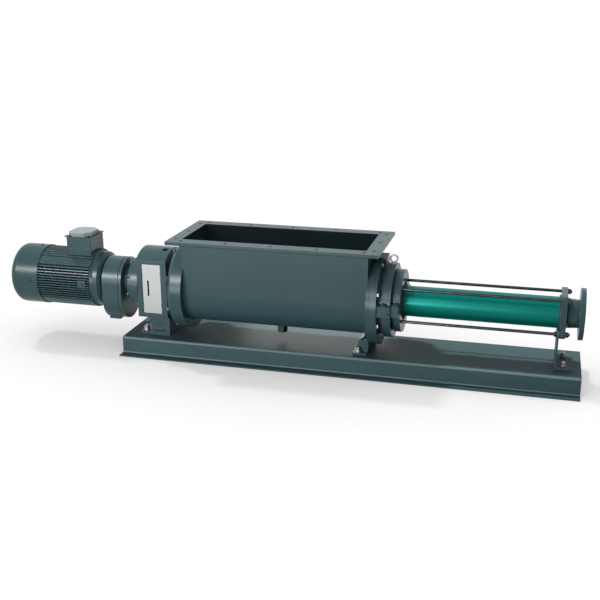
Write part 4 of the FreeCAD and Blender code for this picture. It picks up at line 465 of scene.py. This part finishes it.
def washer_tree():
    """Flat ring with rounded rims along each span."""
    tree, keys = new_tree("Washer", {
        "Radius": "NodeSocketFloat", "Hole Radius": "NodeSocketFloat",
        "Thickness": "NodeSocketFloat", "Edge": "NodeSocketFloat",
        "Material": "NodeSocketMaterial"})
    given = add_node(tree, "NodeGroupInput").outputs
    width = add_node(tree, "ShaderNodeMath", {
        0: given["Radius"], 1: given["Hole Radius"]}, operation="SUBTRACT").outputs[0]
    across = add_node(tree, "ShaderNodeMath", {
        0: given["Radius"], 1: given["Hole Radius"]}, operation="ADD").outputs[0]
    middle = add_node(tree, "ShaderNodeMath", {0: across, 1: 2.0}, operation="DIVIDE").outputs[0]
    section = add_node(tree, "GeometryNodeCurvePrimitiveQuadrilateral", {
        "Width": width, "Height": given["Thickness"]}).outputs["Curve"]
    section = add_node(tree, "GeometryNodeFilletCurve", {
        "Curve": section, "Radius": given["Edge"], "Count": RIM_STEPS},
        mode="POLY").outputs["Curve"]
    path = add_node(tree, "GeometryNodeCurvePrimitiveCircle", {
        "Resolution": WASHER_SIDES, "Radius": middle}).outputs["Curve"]
    ring = add_node(tree, "GeometryNodeCurveToMesh", {"Curve": path, "Profile Curve": section})
    half = add_node(tree, "ShaderNodeMath", {0: given["Thickness"], 1: 2.0}, operation="DIVIDE")
    ring = lifted(tree, ring.outputs["Mesh"], half.outputs[0])
    spans = add_node(tree, "GeometryNodeMeshToCurve", {"Mesh": given["Geometry"]}).outputs["Curve"]
    starts = add_node(tree, "GeometryNodeCurveEndpointSelection", {"Start Size": 1, "End Size": 0})
    rings = along_spans(tree, spans, starts.outputs["Selection"], ring)
    finish_tree(tree, rings, given["Material"])
    return tree, keys


def weld_tree():
    """Bead along each path, thicker at every ripple."""
    tree, keys = new_tree("Weld bead", {
        "Radius": "NodeSocketFloat", "Pitch": "NodeSocketFloat", "Material": "NodeSocketMaterial"})
    given = add_node(tree, "NodeGroupInput").outputs
    path = add_node(tree, "GeometryNodeMeshToCurve", {"Mesh": given["Geometry"]}).outputs["Curve"]
    step = add_node(tree, "ShaderNodeMath", {
        0: given["Pitch"], 1: BEAD_STATIONS}, operation="DIVIDE").outputs[0]
    path = add_node(tree, "GeometryNodeResampleCurve", {
        "Curve": path, "Length": step}, mode="LENGTH").outputs["Curve"]
    way = add_node(tree, "GeometryNodeSplineParameter").outputs["Length"]
    ripples = add_node(tree, "ShaderNodeMath", {
        0: way, 1: given["Pitch"]}, operation="DIVIDE").outputs[0]
    phase = add_node(tree, "ShaderNodeMath", {
        0: ripples, 1: math.pi}, operation="MULTIPLY").outputs[0]
    wave = add_node(tree, "ShaderNodeMath", {0: phase}, operation="SINE").outputs[0]
    swell = add_node(tree, "ShaderNodeMath", {0: wave}, operation="ABSOLUTE").outputs[0]
    rippled = add_node(tree, "ShaderNodeMath", {
        0: swell, 1: BEAD_SWELL, 2: BEAD_THIN}, operation="MULTIPLY_ADD").outputs[0]
    wobble = add_node(tree, "ShaderNodeTexNoise", {"Scale": BEAD_PATCHES}).outputs["Fac"]
    uneven = add_node(tree, "ShaderNodeMath", {
        0: wobble, 1: BEAD_UNEVEN, 2: -BEAD_UNEVEN / 2}, operation="MULTIPLY_ADD").outputs[0]
    size = add_node(tree, "ShaderNodeMath", {0: rippled, 1: uneven}, operation="ADD").outputs[0]
    path = add_node(tree, "GeometryNodeSetCurveRadius", {
        "Curve": path, "Radius": size}).outputs["Curve"]
    section = add_node(tree, "GeometryNodeCurvePrimitiveCircle", {
        "Resolution": BEAD_SIDES, "Radius": given["Radius"]}).outputs["Curve"]
    bead = add_node(tree, "GeometryNodeCurveToMesh", {
        "Curve": path, "Profile Curve": section, "Scale": size, "Fill Caps": True})
    smooth = add_node(tree, "GeometryNodeSetShadeSmooth", {"Geometry": bead.outputs["Mesh"]})
    finish_tree(tree, smooth.outputs["Geometry"], given["Material"])
    return tree, keys


TREES = {}


def grown(maker, points, edges, values):
    """Run a tree on a wire mesh and return the result as a plain mesh."""
    if maker not in TREES:
        TREES[maker] = maker()
    tree, keys = TREES[maker]
    wire = bpy.data.meshes.new("wire")
    wire.from_pydata(points, edges, [])
    holder = bpy.data.objects.new("wire", wire)
    bpy.context.scene.collection.objects.link(holder)
    modifier = holder.modifiers.new("grow", "NODES")
    modifier.node_group = tree
    for label, value in values.items():
        modifier[keys[label]] = value
    bpy.context.view_layer.update()
    evaluated = holder.evaluated_get(bpy.context.evaluated_depsgraph_get())
    mesh = bpy.data.meshes.new_from_object(evaluated)
    holder.modifiers.remove(modifier)
    bpy.data.objects.remove(holder)
    return mesh


def piece_from(name, meshes, material):
    """Join plain meshes into one piece at the origin."""
    shape = bmesh.new()
    for mesh in meshes:
        shape.from_mesh(mesh)
        bpy.data.meshes.remove(mesh)
    joined = bpy.data.meshes.new(name)
    shape.to_mesh(joined)
    shape.free()
    joined.materials.clear()
    joined.materials.append(material)
    for polygon in joined.polygons:
        polygon.material_index = 0
    piece = bpy.data.objects.new(name, joined)
    bpy.context.scene.collection.objects.link(piece)
    return piece


# Fasteners

MERGE = 1e-6                 # corners nearer to each other than this are one
FLUSH = 1e-5                 # a hexagon that reaches past its corners by less than this is a nut
STEP = 0.0001                # corners further along than this belong to another part
BORE = 0.001                 # corners nearer to the axis than this are centres of faces
WIDE_SHARE = 0.97            # share of the widest radius that still counts as the widest part
HEXAGON_CORNERS = 12         # a plain hexagon has no more corners than this, a round part has more
WASHER_SHARE = 0.5           # a round part thinner than this share of its radius is a washer

ALONG, ACROSS, UPRIGHT = (1, 0, 0), (0, 1, 0), (0, 0, 1)

Reading = namedtuple("Reading", "middle widest narrow low high first last corners beyond")


def separate_solids(node):
    """Corners of each separate solid of a node, always in the same order."""
    shape = bmesh.new()
    shape.from_mesh(frame["nodes"][node].data)
    bmesh.ops.remove_doubles(shape, verts=shape.verts, dist=MERGE)
    left = set(shape.verts)
    solids = []
    for first in shape.verts:
        if first not in left:
            continue
        left.remove(first)
        front, found = [first], [first]
        while front:
            for edge in front.pop().link_edges:
                for corner in edge.verts:
                    if corner in left:
                        left.remove(corner)
                        front.append(corner)
                        found.append(corner)
        solids.append([corner.co.copy() for corner in found])
    shape.free()
    return solids


def read_fastener(corners, way):
    """Read one plain fastener along way.

    The reading holds its middle line, its widest and narrowest radius, where its widest part
    and the whole begin and end, how many corners the widest part has, and the radius past it.
    """
    lows = [min(c[i] for c in corners) for i in range(3)]
    highs = [max(c[i] for c in corners) for i in range(3)]
    middle = Vector((a + b) / 2 for a, b in zip(lows, highs))
    middle -= way * middle.dot(way)
    away = [(c.dot(way), (c - middle - way * c.dot(way)).length) for c in corners]
    every = [s for s, _ in away]
    widest = max(radius for _, radius in away)
    narrow = min(radius for _, radius in away if radius > BORE)
    wide = [s for s, radius in away if radius > widest * WIDE_SHARE]
    low, high = min(wide), max(wide)
    beyond = [radius for s, radius in away if s < low - STEP or s > high + STEP]
    return Reading(middle, widest, narrow, low, high, min(every), max(every), len(wide),
                   max(beyond, default=0.0))


def fastener_parts(node, way):
    """Heads, nuts, washers and threaded lengths of a node, each with its two ends and its radii."""
    heads, nuts, washers, shanks = [], [], [], []
    for corners in separate_solids(node):
        read = read_fastener(corners, way)
        low, high, first, last = (
            read.middle + way * s for s in (read.low, read.high, read.first, read.last))
        if read.corners > HEXAGON_CORNERS and read.high - read.low < read.widest * WASHER_SHARE:
            washers.append((low, high, read.widest, read.narrow))
            if read.last > read.high + STEP:
                nuts.append((high, last, read.beyond))
            elif read.first < read.low - STEP:
                nuts.append((first, low, read.beyond))
        elif read.corners > HEXAGON_CORNERS:
            shanks.append((first, last, read.widest))
        elif read.first > read.low - FLUSH and read.last < read.high + FLUSH:
            nuts.append((low, high, read.widest))
        elif read.low - read.first > read.last - read.high:
            heads.append((low, high, read.widest))
            shanks.append((first, low, read.narrow))
        else:
            heads.append((high, low, read.widest))
            shanks.append((last, high, read.narrow))
    return heads, nuts, washers, shanks


def wire_of(spans):
    """Points and edges of a wire with one straight edge for each span."""
    points = [point for span in spans for point in span[:2]]
    return points, [(i, i + 1) for i in range(0, len(points), 2)]


def dress_fasteners(context, node, way, finish="zinc_steel"):
    """Replace a node's plain bolts, nuts, washers and studs by finished ones in their places."""
    material = finishes(context)[finish]
    sizes = context.scene.pump_sizes
    heads, nuts, washers, shanks = fastener_parts(node, Vector(way))
    meshes = []
    for hexagons, both_ends in ((heads, False), (nuts, True)):
        if hexagons:
            points, edges = wire_of(hexagons)
            start, end, radius = hexagons[0]
            meshes.append(grown(hexagon_tree, points, edges, {
                "Corner Radius": radius, "Height": (end - start).length,
                "Both Ends": both_ends, "Seed": len(points), "Material": material}))
    if shanks:
        points, edges = wire_of(shanks)
        meshes.append(grown(thread_tree, points, edges, {
            "Radius": shanks[0][2], "Pitch": sizes.thread_pitch, "Material": material}))
    if washers:
        points, edges = wire_of(washers)
        start, end, outer, inner = washers[0]
        meshes.append(grown(washer_tree, points, edges, {
            "Radius": outer, "Hole Radius": inner, "Thickness": (end - start).length,
            "Edge": sizes.washer_edge, "Material": material}))
    piece = piece_from(node + "_finished", meshes, material)
    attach(piece, "frame")
    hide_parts(node)


class PUMP_OT_ring_bolts(bpy.types.Operator):
    """Make the hexagon bolts that run along the pump"""
    bl_idname = "pump.ring_bolts"
    bl_label = "Ring bolts"

    def execute(self, context):
        dress_fasteners(context, "adaptor_bolts", ALONG)
        dress_fasteners(context, "tie_rod_nuts", ALONG, "rod_steel")
        for node in ("seal_housing_bolts", "gearbox_flange_bolts"):
            dress_fasteners(context, node, ALONG, "cast_enamel")
        return {"FINISHED"}


class PUMP_OT_upright_bolts(bpy.types.Operator):
    """Make the bolts and studs of the feet and of the clamping lugs"""
    bl_idname = "pump.upright_bolts"
    bl_label = "Foot and lug bolts"

    def execute(self, context):
        dress_fasteners(context, "lug_bolts", UPRIGHT, "cast_enamel")
        for node in ("lantern_foot_bolts", "hopper_support_bolts", "support_leg_bolts"):
            dress_fasteners(context, node, UPRIGHT)
        return {"FINISHED"}


class PUMP_OT_oil_plugs(bpy.types.Operator):
    """Make the oil plugs on the rear of the gearbox"""
    bl_idname = "pump.oil_plugs"
    bl_label = "Oil plugs"

    def execute(self, context):
        dress_fasteners(context, "gearbox_plugs", ACROSS)
        return {"FINISHED"}


# Weld seams, in metres

AXIS_HEIGHT = 0.277          # the pump's axis above the floor
TROUGH_ENDS = (-0.383, 0.372)   # where the trough meets its rings
BEAD_REACH = 0.144           # from the axis to a bead on the trough's wall
BEAD_BELOW_RIM = 0.014       # from the rim's top to the bead under it
ARC_STEPS = 60               # steps of a bead round the trough's floor


def trough_arc(x):
    """Points of a half circle round the trough's floor."""
    turns = [math.radians(180 + 180 * i / ARC_STEPS) for i in range(ARC_STEPS + 1)]
    return [Vector((x, BEAD_REACH * math.cos(t), AXIS_HEIGHT + BEAD_REACH * math.sin(t)))
            for t in turns]


def hopper_seams(rim_top):
    """Paths of the beads: under the rim along the trough, and round the trough at each ring."""
    height = rim_top - BEAD_BELOW_RIM
    straight = [[Vector((x, side * BEAD_REACH, height)) for x in TROUGH_ENDS] for side in (-1, 1)]
    return straight + [trough_arc(x) for x in TROUGH_ENDS]


class PUMP_OT_weld_seams(bpy.types.Operator):
    """Lay the weld beads where the hopper's trough meets its rings and rim"""
    bl_idname = "pump.weld_seams"
    bl_label = "Weld seams"

    def execute(self, context):
        sizes = context.scene.pump_sizes
        material = finishes(context)["machine_paint"]
        points, edges = [], []
        for path in hopper_seams(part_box("feed_hopper")[1].z):
            first = len(points)
            points += path
            edges += [(i, i + 1) for i in range(first, len(points) - 1)]
        mesh = grown(weld_tree, points, edges, {
            "Radius": sizes.weld_radius, "Pitch": sizes.weld_pitch, "Material": material})
        piece = piece_from("hopper_weld_seams", [mesh], material)
        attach(piece, "frame")
        return {"FINISHED"}


# Studio, in metres, watts and degrees

FLOOR_REACH = 40.0
FLOOR_BOUNCE = 0.25          # share of the floor's colour that lights the pump from below
FLOOR_MATT = 0.12            # share of it that takes the lamps' shadows
FLOOR_PAINTED_SHADOW_REACH = 0.8             # how close a piece must stand to cast the floor's painted shadow
FLOOR_GLOW_AND_PAINTED_SHADOW = (0.72, 0.24)    # share of the floor's glow that the painted shadow under a piece takes away, and glow that stays
SKY_FILL = 0.14              # strength of the white sky where it lights the pump

# Name, strength, angle, place, direction
SUNS = (
    ("overhead key", 4.6, 6.0, (0.0, 0.0, 3.0), (0.54, -0.37, -1.0)),
    ("overhead bank", 0.9, 80.0, (0.0, 0.0, 4.0), (0.0, 0.1, -1.0)),
)
# Name, width, height, watts, whether it lights matt surfaces, place, direction
SOFTBOXES = (
    ("low fill", 2.2, 0.45, 92.0, True, (-0.8, -3.0, 0.35), (0.1, 1.0, 0.0)),
    ("front strip", 2.8, 0.8, 290.0, False, (-1.8, -3.0, 1.7), (0.15, 1.0, -0.5)),
    ("rear card", 0.7, 0.34, 2.8, False, (-0.03, 0.65, 0.27), (0.0, -1.0, 0.0)),
)

# The photograph's view, fitted to the rim, the base and the discharge flange
VIEW_PLACE = (0.99574, -3.49586, 1.40789)
VIEW_AZIMUTH, VIEW_ELEVATION, VIEW_ROLL = 14.86, 17.83, -0.13
LENS_MM, SENSOR_MM = 55.63, 36.0
VIEW_REACH = 200.0


class PUMP_OT_studio(bpy.types.Operator):
    """Set the pale floor, the soft lamps and the camera"""
    bl_idname = "pump.studio"
    bl_label = "Studio"

    def execute(self, context):
        scene = context.scene
        self.floor(scene)
        self.world(scene)
        self.lamps(scene)
        self.camera(scene)
        scene.view_settings.view_transform = "Standard"
        return {"FINISHED"}

    def floor(self, scene):
        """Lay the floor: it looks white, with the lamps' shadows and a soft painted shadow under the
        pump, and lights the pump less than that.
        """
        mesh = bpy.data.meshes.new("studio_floor")
        corners = [(FLOOR_REACH * x, FLOOR_REACH * y, 0.0) for x, y in
                   ((-1, -1), (1, -1), (1, 1), (-1, 1))]
        mesh.from_pydata(corners, [], [(0, 1, 2, 3)])
        plate = bpy.data.objects.new("studio_floor", mesh)
        scene.collection.objects.link(plate)
        material, tree = new_material("Matt white floor")
        rays = add_node(tree, "ShaderNodeLightPath").outputs
        seen = add_node(tree, "ShaderNodeMath", {
            0: rays["Is Camera Ray"], 1: rays["Is Glossy Ray"]}, operation="MAXIMUM")
        tone = scene.pump_colours.floor
        dim = add_node(tree, "ShaderNodeBsdfDiffuse", {
            "Color": (*(FLOOR_BOUNCE * c for c in tone), 1)})
        matt = add_node(tree, "ShaderNodeBsdfDiffuse", {
            "Color": (*(FLOOR_MATT * c for c in tone), 1)})
        # Painted shadow: ambient occlusion dims the floor's glow where pieces stand close to it.
        painted_floor_shadow = add_node(tree, "ShaderNodeAmbientOcclusion", {"Distance": FLOOR_PAINTED_SHADOW_REACH}, samples=8)
        glow_under_painted_shadow = add_node(tree, "ShaderNodeMath", {
            0: painted_floor_shadow.outputs["AO"], 1: FLOOR_GLOW_AND_PAINTED_SHADOW[0], 2: FLOOR_GLOW_AND_PAINTED_SHADOW[1]}, operation="MULTIPLY_ADD")
        glow = add_node(tree, "ShaderNodeEmission", {
            "Color": (*tone, 1), "Strength": glow_under_painted_shadow.outputs[0]})
        pale = add_node(tree, "ShaderNodeAddShader", {
            0: matt.outputs["BSDF"], 1: glow.outputs["Emission"]})
        mixed = add_node(tree, "ShaderNodeMixShader", {
            0: seen.outputs[0], 1: dim.outputs["BSDF"], 2: pale.outputs["Shader"]})
        add_node(tree, "ShaderNodeOutputMaterial", {"Surface": mixed.outputs["Shader"]})
        mesh.materials.append(material)

    def world(self, scene):
        """Make the sky: white where it is seen or mirrored, faint where it lights the pump."""
        world = bpy.data.worlds.new("studio_sky")
        scene.world = world
        world.use_nodes = True
        tree = world.node_tree
        tree.nodes.clear()
        rays = add_node(tree, "ShaderNodeLightPath").outputs
        seen = rays["Is Camera Ray"]
        for ray in ("Is Glossy Ray", "Is Transmission Ray"):
            seen = add_node(tree, "ShaderNodeMath", {
                0: seen, 1: rays[ray]}, operation="MAXIMUM").outputs[0]
        strength = add_node(tree, "ShaderNodeMapRange", {
            "Value": seen, "To Min": SKY_FILL, "To Max": 1.0}).outputs["Result"]
        sky = add_node(tree, "ShaderNodeBackground", {
            "Color": (1, 1, 1, 1), "Strength": strength})
        add_node(tree, "ShaderNodeOutputWorld", {"Surface": sky.outputs["Background"]})

    def lamps(self, scene):
        """Hang the suns, which no surface mirrors, and the softboxes."""
        for name, strength, angle, place, toward in SUNS:
            sun = bpy.data.lights.new(name, "SUN")
            sun.energy, sun.angle = strength, math.radians(angle)
            self.hang(scene, sun, place, toward, mirrored=False, matt=True)
        for name, width, height, watts, matt, place, toward in SOFTBOXES:
            box = bpy.data.lights.new(name, "AREA")
            box.shape = "RECTANGLE"
            box.size, box.size_y, box.energy = width, height, watts
            self.hang(scene, box, place, toward, mirrored=True, matt=matt)

    def hang(self, scene, lamp, place, toward, mirrored, matt):
        """Put one lamp in its place, unseen by the camera."""
        holder = bpy.data.objects.new(lamp.name, lamp)
        holder.location = place
        holder.rotation_mode = "QUATERNION"
        holder.rotation_quaternion = Vector(toward).to_track_quat("-Z", "Y")
        holder.visible_camera = False
        holder.visible_glossy = mirrored
        holder.visible_diffuse = matt
        scene.collection.objects.link(holder)

    def camera(self, scene):
        """Set the camera to the photograph's view."""
        azimuth, elevation, roll = (
            math.radians(turn) for turn in (VIEW_AZIMUTH, VIEW_ELEVATION, VIEW_ROLL))
        back = Vector((math.sin(azimuth) * math.cos(elevation),
                       -math.cos(azimuth) * math.cos(elevation), math.sin(elevation)))
        right = Vector((math.cos(azimuth), math.sin(azimuth), 0.0))
        up = back.cross(right)
        tilted_right = right * math.cos(roll) + up * math.sin(roll)
        tilted_up = up * math.cos(roll) - right * math.sin(roll)
        turn = Matrix((tilted_right, tilted_up, back)).transposed().to_4x4()
        lens = bpy.data.cameras.new("photograph")
        lens.lens = LENS_MM
        lens.sensor_width = SENSOR_MM
        lens.clip_end = VIEW_REACH
        camera = bpy.data.objects.new("photograph", lens)
        camera.matrix_world = Matrix.Translation(VIEW_PLACE) @ turn
        scene.collection.objects.link(camera)
        scene.camera = camera


class PUMP_PT_panel(bpy.types.Panel):
    """Colours, sizes and steps of the pump"""
    bl_idname = "PUMP_PT_panel"
    bl_label = "Progressive Cavity Pump"
    bl_space_type = "VIEW_3D"
    bl_region_type = "UI"
    bl_category = "Pump"

    def draw(self, context):
        layout = self.layout
        for group in (context.scene.pump_colours, context.scene.pump_sizes):
            box = layout.box()
            for name in group.__annotations__:
                box.prop(group, name)
        for operator in OPERATORS:
            layout.operator(operator.bl_idname)


OPERATORS = (PUMP_OT_studio, PUMP_OT_finishes, PUMP_OT_ring_bolts, PUMP_OT_upright_bolts,
             PUMP_OT_oil_plugs, PUMP_OT_weld_seams)
CLASSES = (PumpColours, PumpSizes) + OPERATORS + (PUMP_PT_panel,)


def register():
    for kind in CLASSES:
        bpy.utils.register_class(kind)
    bpy.types.Scene.pump_colours = bpy.props.PointerProperty(type=PumpColours)
    bpy.types.Scene.pump_sizes = bpy.props.PointerProperty(type=PumpSizes)


def unregister():
    del bpy.types.Scene.pump_sizes
    del bpy.types.Scene.pump_colours
    for kind in reversed(CLASSES):
        bpy.utils.unregister_class(kind)


def main():
    """Register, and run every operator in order."""
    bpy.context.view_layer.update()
    register()
    for operator in OPERATORS:
        group, name = operator.bl_idname.split(".")
        getattr(getattr(bpy.ops, group), name)()


if __name__ == "__main__":
    main()
